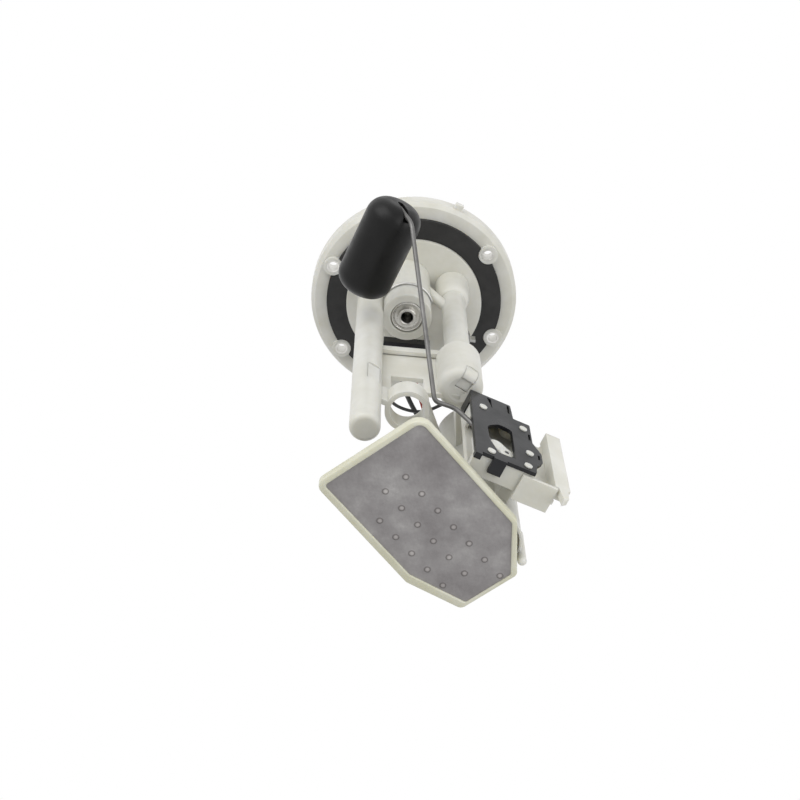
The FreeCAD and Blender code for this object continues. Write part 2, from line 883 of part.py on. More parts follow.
def collar():
    return cylinder(collar_radius, collar_bottom_z, collar_bottom_z + collar_length, collar_x, collar_y)


def sleeve():
    outer = cylinder(sleeve_radius, sleeve_end_z, sleeve_top_z, pump_x, pump_y)
    pieces = [outer]
    for angle in hook_angles:
        finger = block(sleeve_bore_radius, sleeve_radius, -hook_width / 2, hook_width / 2,
                       sleeve_top_z - through, sleeve_top_z + hook_height)
        nib = block(pump_radius - hook_catch, sleeve_bore_radius, -hook_width / 2, hook_width / 2,
                    casing_top_z, sleeve_top_z + hook_height)
        hook = finger.fuse(nib)
        hook.translate(vector(pump_x, pump_y))
        pieces.append(around(hook, angle, pump_x, pump_y))
    return pieces


def sleeve_bore():
    bore = cylinder(sleeve_bore_radius, sleeve_end_z + sleeve_lip_thickness, sleeve_top_z, pump_x, pump_y)
    return bore.fuse(cylinder(sleeve_lip_opening, sleeve_end_z - through, sleeve_top_z, pump_x, pump_y))


def sleeve_lug():
    lug = cylinder(lug_radius, sleeve_end_z + lug_reach, sleeve_end_z + lug_reach + lug_height,
                   pump_x + sleeve_radius + lug_reach - lug_radius / 2, pump_y)
    return around(lug, lug_angle, pump_x, pump_y)


def carrier_webs():
    sleeve_left = pump_x - sleeve_radius * 0.85
    pieces = [web(left_post_x + left_post_radius / 2, left_post_y, collar_x, collar_y, collar_bottom_z,
                  collar_bottom_z + collar_length + web_thickness),
              web(collar_x + collar_radius - web_thickness, collar_y, sleeve_left, pump_y - sleeve_radius / 2,
                  collar_bottom_z, collar_bottom_z + collar_length + 4 * web_thickness),
              web(right_post_x, right_post_y + socket_radius - web_thickness, right_post_x + web_thickness,
                  pump_y - sleeve_radius * 0.75, socket_end_z, sleeve_top_z - web_thickness),
              web(left_post_x, wall_front_y + wall_thickness, left_post_x + left_post_radius, collar_y,
                  collar_bottom_z, collar_bottom_z + collar_length)]
    return pieces


def sender_rail(clearance):
    """T-shaped rail that carries the sender on the front of the sleeve."""
    front = rail_front + clearance
    neck_half = rail_half_width + clearance
    head_half = rail_half_width + rail_flare + clearance
    corners = ((rail_centre - neck_half, rail_base), (rail_centre + neck_half, rail_base),
               (rail_centre + neck_half, rail_neck + 1.5), (rail_centre + head_half, rail_front - 1.0),
               (rail_centre + head_half, front), (rail_centre - head_half, front),
               (rail_centre - head_half, rail_front - 1.0), (rail_centre - neck_half, rail_neck + 1.5))
    points = [vector(a, -b, rail_end_z) for a, b in corners]
    face = Part.Face(Part.makePolygon(points + [points[0]]))
    return in_place(face.extrude(vector(0, 0, rail_top_z - rail_end_z)))


def make_carrier():
    pieces = [left_column(), right_socket()] + shelf() + [collar()] + sleeve() + [sleeve_lug()]
    pieces += carrier_webs()
    pieces.append(sender_rail(0.0))
    carrier = fused(pieces)
    cuts = socket_bores() + latch_windows() + [sleeve_bore()]
    for x, y, radius, low in ((left_post_x, left_post_y, left_post_radius, post_shoulder_z),
                              (right_post_x, right_post_y, right_post_radius, socket_top_z)):
        cuts.append(cylinder(radius + socket_clearance, low, shelf_top_z + through, x, y))
    cuts.append(cylinder(collar_bore_radius, collar_bottom_z - through, collar_bottom_z + 3 * collar_length,
                         collar_x, collar_y))
    return cut_all(carrier, cuts)


# Pump


def make_isolators():
    rings = [tube(sleeve_bore_radius, pump_radius, low, low + isolator_height, pump_x, pump_y)
             for low in (isolator_upper_z, isolator_lower_z)]
    rings.append(tube(sleeve_bore_radius, sleeve_lip_opening, sleeve_end_z + sleeve_lip_thickness, casing_end_z,
                      pump_x, pump_y))
    return rings


def make_casing():
    opening = casing_opening_radius
    bore = casing_bore_radius
    return turned(((opening, casing_end_z), (pump_radius - casing_lip, casing_end_z),
                   (pump_radius, casing_end_z + casing_lip), (pump_radius, casing_top_z - casing_lip),
                   (pump_radius - casing_lip, casing_top_z), (opening, casing_top_z),
                   (opening, casing_top_z - casing_lip), (bore, casing_top_z - casing_lip),
                   (bore, casing_end_z + casing_lip), (opening, casing_end_z + casing_lip)), pump_x, pump_y)


inlet_body_bottom_z = casing_end_z + casing_lip
inlet_body_top_z = inlet_body_bottom_z + inlet_body_thickness
chamber_top_z = inlet_body_top_z + chamber_thickness
pocket_top_z = inlet_body_top_z + impeller_pocket_depth


def make_inlet_body():
    body = turned(((0.0, inlet_nipple_end_z), (inlet_nipple_radius, inlet_nipple_end_z),
                   (inlet_nipple_radius, casing_end_z), (casing_opening_radius, casing_end_z),
                   (casing_opening_radius, inlet_body_bottom_z), (casing_bore_radius, inlet_body_bottom_z),
                   (casing_bore_radius, inlet_body_top_z), (0.0, inlet_body_top_z)), pump_x, pump_y)
    bore_top_z = inlet_body_top_z - inlet_nipple_bore
    bore = cylinder(inlet_nipple_bore, inlet_nipple_end_z - through, bore_top_z, pump_x, pump_y)
    port = cylinder(port_radius, bore_top_z - port_radius, inlet_body_top_z + through,
                    pump_x + port_circle_radius, pump_y)
    cross = Part.makeCylinder(port_radius, port_circle_radius, vector(pump_x, pump_y, bore_top_z - port_radius),
                              vector(1, 0, 0))
    return cut_all(body, [bore, port, cross])


def make_chamber():
    body = cylinder(casing_bore_radius, inlet_body_top_z, chamber_top_z, pump_x, pump_y)
    pocket = cylinder(impeller_radius + impeller_clearance, inlet_body_top_z - through, pocket_top_z,
                      pump_x, pump_y)
    bearing_seat = cylinder(bearing_radius, pocket_top_z - through, chamber_top_z + through, pump_x, pump_y)
    port = cylinder(port_radius, pocket_top_z - through, chamber_top_z + through, pump_x - port_circle_radius,
                    pump_y)
    return cut_all(body, [pocket, bearing_seat, port])


def make_impeller():
    low = inlet_body_top_z + (impeller_pocket_depth - impeller_thickness) / 2
    wheel = tube(impeller_radius, shaft_radius, low, low + impeller_thickness, pump_x, pump_y)
    slots = []
    for index in range(impeller_blades):
        slot = block(impeller_radius - impeller_blade_depth, impeller_radius + through, -impeller_slot_width / 2,
                     impeller_slot_width / 2, low - through, low + impeller_thickness + through)
        slot.translate(vector(pump_x, pump_y))
        slots.append(around(slot, index * 360.0 / impeller_blades, pump_x, pump_y))
    return cut_all(wheel, slots)


def make_lower_bearing():
    return tube(bearing_radius, shaft_radius + shaft_clearance, chamber_top_z - bearing_length, chamber_top_z,
                pump_x, pump_y)


def make_upper_bearing():
    return tube(bearing_radius, shaft_radius + shaft_clearance, end_cap_bottom_z,
                end_cap_bottom_z + bearing_length, pump_x, pump_y)


def make_shaft():
    low = inlet_body_top_z + impeller_pocket_depth / 4
    return cylinder(shaft_radius, low, end_cap_bottom_z + bearing_length, pump_x, pump_y)


def make_armature():
    core = tube(armature_radius, shaft_radius, armature_bottom_z, armature_bottom_z + armature_height,
                pump_x, pump_y)
    slots = []
    for index in range(armature_slots):
        slot = block(armature_radius - armature_slot_depth, armature_radius + through, -armature_slot_width / 2,
                     armature_slot_width / 2, armature_bottom_z - through,
                     armature_bottom_z + armature_height + through)
        slot.translate(vector(pump_x, pump_y))
        slots.append(around(slot, index * 360.0 / armature_slots, pump_x, pump_y))
    return cut_all(core, slots)


def make_windings():
    coils = []
    for low in (armature_bottom_z - winding_overhang, armature_bottom_z + armature_height):
        high = low + winding_overhang
        rim = winding_overhang / 4
        coils.append(turned(((shaft_radius, low), (winding_radius - rim, low), (winding_radius, low + rim),
                             (winding_radius, high - rim), (winding_radius - rim, high), (shaft_radius, high)),
                            pump_x, pump_y))
    return coils


def make_commutator():
    low = commutator_top_z - commutator_height
    drum = tube(commutator_radius, shaft_radius, low, commutator_top_z, pump_x, pump_y)
    slits = []
    for index in range(commutator_segments):
        slit = block(shaft_radius * 2, commutator_radius + through, -commutator_slit / 2, commutator_slit / 2,
                     commutator_top_z - commutator_height / 3, commutator_top_z + through)
        slit.translate(vector(pump_x, pump_y))
        slits.append(around(slit, (index + 0.5) * 360.0 / commutator_segments, pump_x, pump_y))
    return cut_all(drum, slits)


def make_magnets():
    high = magnet_bottom_z + magnet_height
    ring = tube(casing_bore_radius, magnet_radius_inner, magnet_bottom_z, high, pump_x, pump_y)
    gap_half = casing_bore_radius * math.cos(math.radians(magnet_arc / 2))
    gap = block(pump_x - gap_half, pump_x + gap_half, pump_y - pump_radius, pump_y + pump_radius,
                magnet_bottom_z - through, high + through)
    return ring.cut(gap).Solids


def brush_box(side, clearance, low, high):
    x = pump_x + side * brush_offset
    return block(x - brush_width / 2 - clearance, x + brush_width / 2 + clearance,
                 pump_y - brush_depth / 2 - clearance, pump_y + brush_depth / 2 + clearance, low, high)


brush_low_z = commutator_top_z + brush_gap
brush_high_z = brush_low_z + brush_length
brush_well_z = casing_top_z - casing_lip - brush_gap


def make_brushes():
    return [brush_box(side, 0.0, brush_low_z, brush_high_z) for side in (-1.0, 1.0)]


def make_brush_springs():
    return [tube(brush_spring_radius, brush_spring_radius - brush_spring_wire, brush_high_z, brush_well_z,
                 pump_x + side * brush_offset, pump_y) for side in (-1.0, 1.0)]


def terminal_boxes():
    boxes = []
    for side in (-1.0, 1.0):
        x = pump_x + side * terminal_offset_x
        y = pump_y + terminal_offset_y
        boxes.append(block(x - terminal_width / 2, x + terminal_width / 2, y - terminal_thickness / 2,
                           y + terminal_thickness / 2, end_cap_top_z - terminal_root,
                           end_cap_top_z + terminal_height))
    return boxes


outlet_y = pump_y - outlet_offset
outlet_top_z = end_cap_top_z + outlet_length


def make_end_cap():
    lower = cylinder(casing_bore_radius, end_cap_bottom_z, casing_top_z - casing_lip, pump_x, pump_y)
    neck = cylinder(casing_opening_radius, end_cap_bottom_z, end_cap_top_z, pump_x, pump_y)
    neck = neck.makeFillet(1.5, [edge for edge in neck.Edges if abs(edge.BoundBox.ZMin - end_cap_top_z) < segment])
    nipple = turned(((0.0, end_cap_bottom_z), (nipple_radius, end_cap_bottom_z),
                     (nipple_radius, outlet_top_z - nipple_bead), (nipple_radius - nipple_bead, outlet_top_z),
                     (0.0, outlet_top_z)), pump_x, outlet_y)
    cap = fused([lower, neck, nipple])
    cuts = [cylinder(outlet_seat_bore, end_cap_bottom_z - through, outlet_seat_z + through, pump_x, outlet_y),
            cylinder(nipple_bore_radius, outlet_seat_z, outlet_top_z - outlet_lip_thickness, pump_x, outlet_y),
            cylinder(outlet_lip_bore, outlet_seat_z, outlet_top_z + through, pump_x, outlet_y),
            cylinder(bearing_radius, end_cap_bottom_z - through, end_cap_bottom_z + bearing_length,
                     pump_x, pump_y)]
    for side in (-1.0, 1.0):
        cuts.append(brush_box(side, brush_clearance, end_cap_bottom_z - through, brush_well_z))
    return cut_all(cap, cuts + terminal_boxes())


def make_check_valve():
    head = cylinder(check_valve_radius, outlet_seat_z, outlet_seat_z + check_valve_head, pump_x, outlet_y)
    stem = cylinder(check_valve_stem_radius, outlet_seat_z + check_valve_head,
                    outlet_seat_z + check_valve_head + check_valve_stem_length, pump_x, outlet_y)
    return fused([head, stem])


def make_check_spring():
    return tube(check_spring_radius, check_spring_bore, outlet_seat_z + check_valve_head,
                outlet_top_z - outlet_lip_thickness, pump_x, outlet_y)


def make_pump_plug():
    y = pump_y + terminal_offset_y
    body = block(pump_x - pump_plug_length / 2, pump_x + pump_plug_length / 2, y - pump_plug_width / 2,
                 y + pump_plug_width / 2, end_cap_top_z, end_cap_top_z + pump_plug_height)
    body = body.makeFillet(1.0, [edge for edge in body.Edges if abs(edge.tangentAt(0).z) > 0.9])
    return cut_all(body, terminal_boxes())


# Hose and clamps


def hose_route():
    return ((pump_x, outlet_y, outlet_top_z - hose_overlap), (pump_x, outlet_y, hose_drop_z),
            (hose_nipple_x, hose_nipple_y, hose_rise_z),
            (hose_nipple_x, hose_nipple_y, floor_bottom_z - hose_nipple_length + hose_overlap))


def make_hose():
    outer = cord("outlet_hose", hose_route(), nipple_radius + hose_wall)
    inner = cord("outlet_hose bore", hose_route(), nipple_radius)
    return outer.cut(inner)


def make_clamps():
    clamps = []
    low_end = outlet_top_z - hose_overlap + clamp_width / 2
    high_end = floor_bottom_z - hose_nipple_length + hose_overlap - clamp_width * 1.5
    hose_radius = nipple_radius + hose_wall
    for x, y, low in ((pump_x, outlet_y, low_end), (hose_nipple_x, hose_nipple_y, high_end)):
        band = tube(hose_radius + clamp_thickness, hose_radius, low, low + clamp_width, x, y)
        ear = block(x + hose_radius, x + hose_radius + clamp_ear, y - clamp_thickness, y + clamp_thickness,
                    low, low + clamp_width)
        clamps.append(band.fuse(ear).removeSplitter())
    return clamps


# Strainer


def strainer_place(shape):
    shape.rotate(vector(0, 0), vector(0, 0, 1), strainer_angle)
    shape.translate(vector(strainer_x, strainer_y))
    return shape


def strainer_prism(inset, low, high):
    wire = rounded_wire(strainer_outline, lambda u, v: vector(u, v, low))
    if inset > 0.0:
        wire = wire.makeOffset2D(-inset, 2)
    return Part.Face(wire).extrude(vector(0, 0, high - low))


def peg_places():
    """Pegs of each row for as long as they stand clear of the rim."""
    wire = rounded_wire(strainer_outline, vector)
    opening = Part.Face(wire.makeOffset2D(-strainer_rim - peg_margin, 2))
    places = []
    for first_u, v in peg_rows:
        u = first_u
        while opening.isInside(vector(u, v), segment, True):
            places.append((u, v))
            u += peg_pitch
    return places


strainer_top_z = strainer_bottom_z + strainer_height
mesh_bottom_z = strainer_bottom_z + mesh_recess
upper_mesh_z = strainer_top_z - mesh_thickness


def make_strainer_frame():
    outer = strainer_prism(0.0, strainer_bottom_z, strainer_top_z)
    flat = [edge for edge in outer.Edges
            if abs(edge.BoundBox.ZMax - edge.BoundBox.ZMin) < segment]
    outer = outer.makeFillet(strainer_edge_round, flat)
    rim = strainer_place(outer.cut(strainer_prism(strainer_rim, strainer_bottom_z - through,
                                                  strainer_top_z + through)))
    boss_top_z = strainer_top_z + strainer_boss_thickness
    boss = cylinder(strainer_boss_radius, strainer_top_z, boss_top_z, pump_x, pump_y)
    socket_radius_outer = inlet_nipple_radius + strainer_socket_wall
    socket = cylinder(socket_radius_outer, strainer_top_z, strainer_top_z + strainer_socket_height,
                      pump_x, pump_y)
    bars = strainer_prism(strainer_rim / 2, strainer_top_z, boss_top_z)
    centre = vector(pump_x - strainer_x, pump_y - strainer_y)
    centre = FreeCAD.Rotation(vector(0, 0, 1), -strainer_angle).multVec(centre)
    span = 2.0 * flange_radius
    half = strainer_rib_width / 2
    cross = block(centre.x - half, centre.x + half, -span, span, strainer_top_z, boss_top_z)
    spine = block(-span, centre.x, centre.y - half, centre.y + half, strainer_top_z, boss_top_z)
    bars = strainer_place(bars.common(cross.fuse(spine)))
    frame = fused([rim, bars, boss, socket])
    return frame.cut(cylinder(inlet_nipple_radius, strainer_bottom_z, column_end_z + through, pump_x, pump_y))


def dimple(u, v):
    """Cone of mesh drawn in towards a peg."""
    low = mesh_bottom_z
    thick = mesh_thickness
    return turned(((0.0, low + dimple_depth), (peg_radius, low + dimple_depth), (dimple_radius, low),
                   (dimple_radius, low + thick), (peg_radius, low + dimple_depth + thick),
                   (0.0, low + dimple_depth + thick)), u, v)


def make_strainer_mesh():
    lower = strainer_prism(strainer_rim, mesh_bottom_z, mesh_bottom_z + mesh_thickness)
    holes = [cylinder(dimple_radius, mesh_bottom_z - through, mesh_bottom_z + through, u, v)
             for u, v in peg_places()]
    inside = strainer_prism(strainer_rim, strainer_bottom_z, strainer_top_z)
    dimples = [dimple(u, v).common(inside) for u, v in peg_places()]
    lower = strainer_place(fused([cut_all(lower, holes)] + dimples))
    upper = strainer_place(strainer_prism(strainer_rim, upper_mesh_z, strainer_top_z))
    upper = upper.cut(cylinder(inlet_nipple_radius, strainer_bottom_z, strainer_top_z + through, pump_x, pump_y))
    return [lower, upper]


def make_strainer_core():
    bar_z = upper_mesh_z - core_bar_thickness
    inner = strainer_prism(strainer_rim, bar_z, upper_mesh_z)
    bars = []
    span = 2.0 * flange_radius
    half = core_bar_width / 2
    for first_u, v in peg_rows:
        bars.append(block(-span, span, v - half, v + half, bar_z, upper_mesh_z))
    for u in [u for u, v in peg_places() if v == peg_rows[0][1]]:
        bars.append(block(u - half, u + half, -span, span, bar_z, upper_mesh_z))
    grid = fused(bars).common(inner)
    pegs = [cylinder(peg_radius, mesh_bottom_z + dimple_depth + mesh_thickness, bar_z + half, u, v)
            for u, v in peg_places()]
    return strainer_place(fused([grid] + pegs))


# Level sender, drawn in its own axes and then put in place


contact_top_z = cover_top_z + contact_stand


def in_place(shape):
    shape.rotate(vector(0, 0), vector(0, 0, 1), sender_angle)
    shape.translate(vector(sender_x, sender_y))
    return shape


def place_point(a, b, z):
    turn = FreeCAD.Rotation(vector(0, 0, 1), sender_angle)
    return turn.multVec(vector(a, -b, z)) + vector(sender_x, sender_y)


def upright(corners, back, front, inset=0.0):
    """Plate with a rounded outline given as (a, z, radius), between two depths."""
    wire = rounded_wire(corners, lambda a, z: vector(a, -back, z))
    if inset != 0.0:
        wire = wire.makeOffset2D(-inset, 2)
    return Part.Face(wire).extrude(vector(0, back - front, 0))


def sender_block(a0, a1, b0, b1, z0, z1):
    return block(a0, a1, -b1, -b0, z0, z1)


def sender_rod(a, z, radius, back, front):
    return Part.makeCylinder(radius, front - back, vector(a, -back, z), vector(0, -1, 0))


cover_back = cover_front - cover_thickness
plate_front = body_plate_back + body_plate_thickness


def sender_wing():
    web_back = wing_web_front - wing_web_thickness
    root = cover_outline[3][0] - body_side_wall
    web_points = [vector(a, -web_back, z) for a, z in ((root, foot_plate_z), (wing_low + wing_wall, foot_plate_z),
                                                       (wing_low + wing_wall, wing_top_z),
                                                       (wing_low - wing_wall, wing_top_z - wing_depth),
                                                       (root, cover_outline[3][1]))]
    web_face = Part.Face(Part.makePolygon(web_points + [web_points[0]]))
    web_plate = web_face.extrude(vector(0, -wing_web_thickness, 0))
    wing = sender_block(wing_low, wing_high, wing_front - wing_depth, wing_front, wing_end_z, wing_top_z)
    hollow = sender_block(wing_low + wing_wall, wing_high + through, wing_front - wing_depth - through,
                          wing_front - wing_wall, wing_end_z + wing_wall, wing_top_z - wing_wall)
    hook_high = wing_high - wing_wall
    hook_points = [vector(a, -wing_front, z) for a, z in ((wing_low + wing_wall, wing_end_z + through),
                                                          (wing_high - through, wing_end_z + through),
                                                          (hook_high, wing_hook_z + wing_depth / 2),
                                                          (hook_high - wing_depth / 2, wing_hook_z),
                                                          (wing_low + 2 * wing_wall, wing_hook_z + through))]
    hook_face = Part.Face(Part.makePolygon(hook_points + [hook_points[0]]))
    hook = hook_face.extrude(vector(0, wing_depth / 2, 0))
    foot = sender_block(foot_plate_low, wing_low + through, foot_plate_back, wing_front, foot_plate_z,
                        foot_plate_z + foot_plate_thickness)
    return [web_plate, wing.cut(hollow), hook, foot]


def sender_stakes():
    stakes = []
    for a, z in stake_places:
        shank = sender_rod(a, z, stake_radius, body_plate_back, cover_front)
        head = sender_rod(a, z, stake_head_radius, cover_front, cover_front + stake_head_height)
        stakes += [shank, head]
    return stakes


def contact_blades():
    blades = []
    for a in contact_places:
        blades.append(sender_block(a - contact_width / 2, a + contact_width / 2, contact_back,
                                   contact_back + contact_thickness, contact_top_z - contact_length, contact_top_z))
    return blades


def make_sender_body():
    shell = upright(cover_outline, body_plate_back, cover_back, body_inset)
    cavity = upright(cover_outline, plate_front, cover_back + through, body_inset + body_side_wall)
    opening = sender_block(cover_outline[0][0] - through, pivot_a - hub_radius, plate_front, cover_back + through,
                           arm_opening_end_z, arm_opening_top_z)
    shell = shell.cut(cavity).cut(opening)
    rail_block = sender_block(rail_centre - rail_block_half_width, rail_centre + rail_block_half_width,
                              rail_block_back, plate_front, rail_end_z - through, rail_top_z - through)
    boss = sender_rod(pivot_a, pivot_z, hub_radius - through, plate_front - through, plate_front + rotor_gap / 2)
    body = fused([shell, rail_block, boss] + sender_stakes() + sender_wing())
    bore = sender_rod(pivot_a, pivot_z, wire_radius + wire_clearance, wire_pin_end - through / 2, cover_front)
    body = cut_all(body, [bore] + contact_blades())
    return in_place(body).cut(sender_rail(rail_clearance))


def make_sender_cover():
    plate = upright(cover_outline, cover_back, cover_front)
    side_hook = sender_block(cover_outline[0][0], cover_outline[0][0] + body_inset, cover_front - tab_depth * 1.3,
                             cover_front - through, cover_outline[0][1] - tab_depth * 1.2,
                             cover_outline[0][1] - 1.0)
    low_z = cover_outline[-1][1]
    tab_low = tab_centre - tab_half_width
    tab_high = tab_centre + tab_half_width
    tab = sender_block(tab_low, tab_high, cover_front - tab_depth, cover_front, low_z - tab_thickness,
                       low_z + body_inset)
    foot = sender_block(cover_outline[0][0], cover_outline[0][0] + tab_half_width, cover_back - tab_thickness,
                        cover_front, low_z - 2 * tab_thickness, low_z + body_inset)
    plate = fused([plate, side_hook, tab, foot])
    window = upright(window_outline, cover_back - through, cover_front + through)
    notch_points = [vector(a, -(cover_back - through), z) for a, z in notch_outline]
    notch_face = Part.Face(Part.makePolygon(notch_points + [notch_points[0]]))
    notch = notch_face.extrude(vector(0, -cover_thickness - 2 * through, 0))
    slits = [sender_block(a - slit_width / 2, a + slit_width / 2, cover_back - through, cover_front + through,
                          z - half, z + half) for a, z, half in slit_places]
    holes = [sender_rod(a, z, stake_radius, cover_back - through, cover_front + through) for a, z in stake_places]
    return in_place(cut_all(plate, [window, notch] + slits + holes))


def make_resistor_card():
    """Ceramic card that fills the sweep of the wiper, on the plate of the sender body."""
    disc = sender_rod(pivot_a, pivot_z, card_radius_outer, plate_front, plate_front + card_thickness)
    disc = disc.cut(sender_rod(pivot_a, pivot_z, hub_radius, plate_front - through,
                               plate_front + card_thickness + through))
    inner = upright(cover_outline, plate_front - through, plate_front + 2 * through, body_inset + 2 * body_side_wall)
    quadrant = sender_block(cover_outline[0][0], pivot_a - hub_radius, plate_front - through,
                            plate_front + 2 * through, pivot_z - hub_radius, pivot_z + card_radius_outer)
    card = disc.common(inner).common(quadrant)
    return in_place(cut_all(card, sender_stakes()))


def make_sender_contacts():
    """Two contact blades in the top wall of the sender body, where its leads end."""
    return [in_place(blade) for blade in contact_blades()]


def arm_points():
    return [place_point(pivot_a, wire_pin_end, pivot_z), place_point(pivot_a, wire_plane, pivot_z),
            place_point(wire_knee[0], wire_plane, wire_knee[1]),
            place_point(wire_elbow[0], wire_plane, wire_elbow[1]),
            place_point(float_a, wire_reach, float_z), place_point(float_a, wire_end, float_z)]


def arm_solid(radius):
    solid, length = bent_rod(arm_points(), (pin_bend, knee_bend, elbow_bend, top_bend), radius)
    return solid


def make_rotor():
    back = plate_front + rotor_gap
    hub = sender_rod(pivot_a, pivot_z, hub_radius, back, rotor_front)
    arm = sender_block(pivot_a, pivot_a + rotor_arm_length, back, rotor_front, pivot_z - rotor_arm_width / 2,
                       pivot_z + rotor_arm_width / 2)
    arm.rotate(vector(pivot_a, 0, pivot_z), vector(0, 1, 0), -rotor_arm_angle)
    return in_place(fused([hub, arm])).cut(arm_solid(wire_radius))


def make_wiper():
    back = plate_front + card_thickness + wiper_gap
    arm = sender_block(pivot_a + hub_radius + 1.0, pivot_a + rotor_arm_length - 2.0, back,
                       plate_front + rotor_gap, pivot_z - wiper_width / 2, pivot_z + wiper_width / 2)
    arm.rotate(vector(pivot_a, 0, pivot_z), vector(0, 1, 0), -rotor_arm_angle)
    return in_place(arm)


def make_float():
    front_centre = float_front - float_radius
    rear_centre = float_rear + float_radius
    drum = sender_rod(float_a, float_z, float_radius, rear_centre, front_centre)
    ends = [Part.makeSphere(float_radius, vector(float_a, -b, float_z)) for b in (front_centre, rear_centre)]
    solid = in_place(fused([drum] + ends))
    return solid.cut(arm_solid(wire_radius))


def pump_lead(name, index, corners, side, height):
    """Lead from a pin of the harness plug to the side of the plug on the pump."""
    end = (pump_x - pump_plug_length / 2, pump_y + terminal_offset_y + side * lead_spread, height)
    route = ((pin_x(index), shroud_y, harness_end_z),) + corners + (end,)
    return cord(name, route, lead_radius_thick)


def sender_lead(name, index, corners, contact):
    """Lead from a pin of the harness plug to a contact of the level sender."""
    end = place_point(contact_places[contact], contact_back + contact_thickness / 2, contact_top_z)
    route = ((pin_x(index), shroud_y, harness_end_z),) + corners + ((end.x, end.y, end.z),)
    return cord(name, route, lead_radius_thin)


def main():
    os.makedirs("parts", exist_ok=True)
    save("flange", make_flange())
    save_group("bolt_bushings", make_bushings())
    save("gasket", make_gasket())
    save_group("connector_pins", make_pins())
    save("harness_plug", make_harness_plug())
    save("regulator_can", make_regulator_can())
    save("regulator_shell", make_regulator_shell())
    save("regulator_snout", make_regulator_snout())
    save("regulator_diaphragm", make_regulator_diaphragm())
    save("regulator_valve", make_regulator_valve())
    save("regulator_spring", make_regulator_spring())
    save("regulator_ring", make_regulator_ring())
    save("regulator_seal", make_regulator_seal())
    save("regulator_cap", make_regulator_cap())
    save("regulator_clip", make_regulator_clip())
    save("carrier", make_carrier())
    save_group("pump_isolators", make_isolators())
    save("pump_casing", make_casing())
    save("pump_inlet_body", make_inlet_body())
    save("pump_chamber", make_chamber())
    save("impeller", make_impeller())
    save("lower_bearing", make_lower_bearing())
    save("upper_bearing", make_upper_bearing())
    save("motor_shaft", make_shaft())
    save("armature_core", make_armature())
    save_group("armature_windings", make_windings())
    save("commutator", make_commutator())
    save_group("motor_magnets", make_magnets())
    save_group("brushes", make_brushes())
    save_group("brush_springs", make_brush_springs())
    save_group("pump_terminals", terminal_boxes())
    save("pump_end_cap", make_end_cap())
    save("check_valve", make_check_valve())
    save("check_valve_spring", make_check_spring())
    save("pump_plug", make_pump_plug())
    save("outlet_hose", make_hose())
    save_group("hose_clamps", make_clamps())
    save("strainer_frame", make_strainer_frame())
    save_group("strainer_mesh", make_strainer_mesh())
    save("strainer_core", make_strainer_core())
    save("sender_body", make_sender_body())
    save("sender_cover", make_sender_cover())
    save("resistor_card", make_resistor_card())
    save_group("sender_contacts", make_sender_contacts())
    save("rotor", make_rotor())
    save("wiper", make_wiper())
    save("float_arm", arm_solid(wire_radius))
    save("float", make_float())
    save("lead_pump_negative",
         pump_lead("lead_pump_negative", 1, lead_pump_negative_corners, -1.0, lead_height_low))
    save("lead_pump_positive",
         pump_lead("lead_pump_positive", 2, lead_pump_positive_corners, 1.0, lead_height_high))
    save("lead_sender_signal", sender_lead("lead_sender_signal", 0, lead_sender_signal_corners, 0))
    save("lead_sender_ground", sender_lead("lead_sender_ground", 3, lead_sender_ground_corners, 1))


main()
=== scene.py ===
import json
import math

import bmesh
import bpy
from mathutils import Matrix, Vector


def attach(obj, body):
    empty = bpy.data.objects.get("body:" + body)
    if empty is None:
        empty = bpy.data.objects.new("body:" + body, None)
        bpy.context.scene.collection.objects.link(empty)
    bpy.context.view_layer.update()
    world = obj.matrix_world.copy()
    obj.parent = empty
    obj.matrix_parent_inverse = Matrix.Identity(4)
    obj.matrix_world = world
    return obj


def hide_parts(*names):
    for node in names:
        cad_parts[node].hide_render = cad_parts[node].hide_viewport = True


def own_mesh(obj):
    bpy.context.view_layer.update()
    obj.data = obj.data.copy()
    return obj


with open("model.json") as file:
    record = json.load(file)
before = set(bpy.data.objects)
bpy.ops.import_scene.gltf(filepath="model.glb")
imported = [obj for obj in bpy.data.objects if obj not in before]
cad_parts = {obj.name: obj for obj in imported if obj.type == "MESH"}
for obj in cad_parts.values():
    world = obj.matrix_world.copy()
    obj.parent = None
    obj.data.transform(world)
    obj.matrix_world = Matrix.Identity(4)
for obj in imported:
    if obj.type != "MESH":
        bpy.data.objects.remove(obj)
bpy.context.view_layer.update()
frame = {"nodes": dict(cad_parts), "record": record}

scene = bpy.context.scene
scene.view_settings.view_transform = "Standard"
scene.view_settings.look = "None"
scene.view_settings.exposure = 0.0
scene.view_settings.gamma = 1.0

# Camera: 67.5 mm lens, from below the module, 26 degrees off its axis
camera_place = Vector((-0.0438, -0.3575, -0.8813))
look = Vector((0.0428, 0.4363, 0.8988)).normalized()
image_up = Vector((-0.0877, -0.8945, 0.4384)).normalized()
image_right = look.cross(image_up).normalized()
camera_data = bpy.data.cameras.new("camera")
camera_data.lens = 67.5
camera_data.sensor_width = 36.0
camera_data.clip_start = 0.01
camera_data.clip_end = 20.0
camera = bpy.data.objects.new("camera", camera_data)
scene.collection.objects.link(camera)
turn = Matrix((image_right, image_up, -look)).transposed().to_4x4()
camera.matrix_world = Matrix.Translation(camera_place) @ turn
scene.camera = camera


# Places and directions in the module, in millimetres and radians

sender_corner = (35.0, 36.0)
sender_turn = math.radians(19.2)
strainer_corner = (-26.0, -15.1)
strainer_turn = math.radians(44.5)
regulator_middle = (-6.0, -15.0)
pump_middle = (36.5, 36.6)
outlet_middle = (36.5, 28.0)
left_post = (-28.0, -15.0)
right_post = (22.5, -14.0)
pivot_a, pivot_z = -4.7, -209.3
float_a, float_z = -91.5, -85.6


# Materials

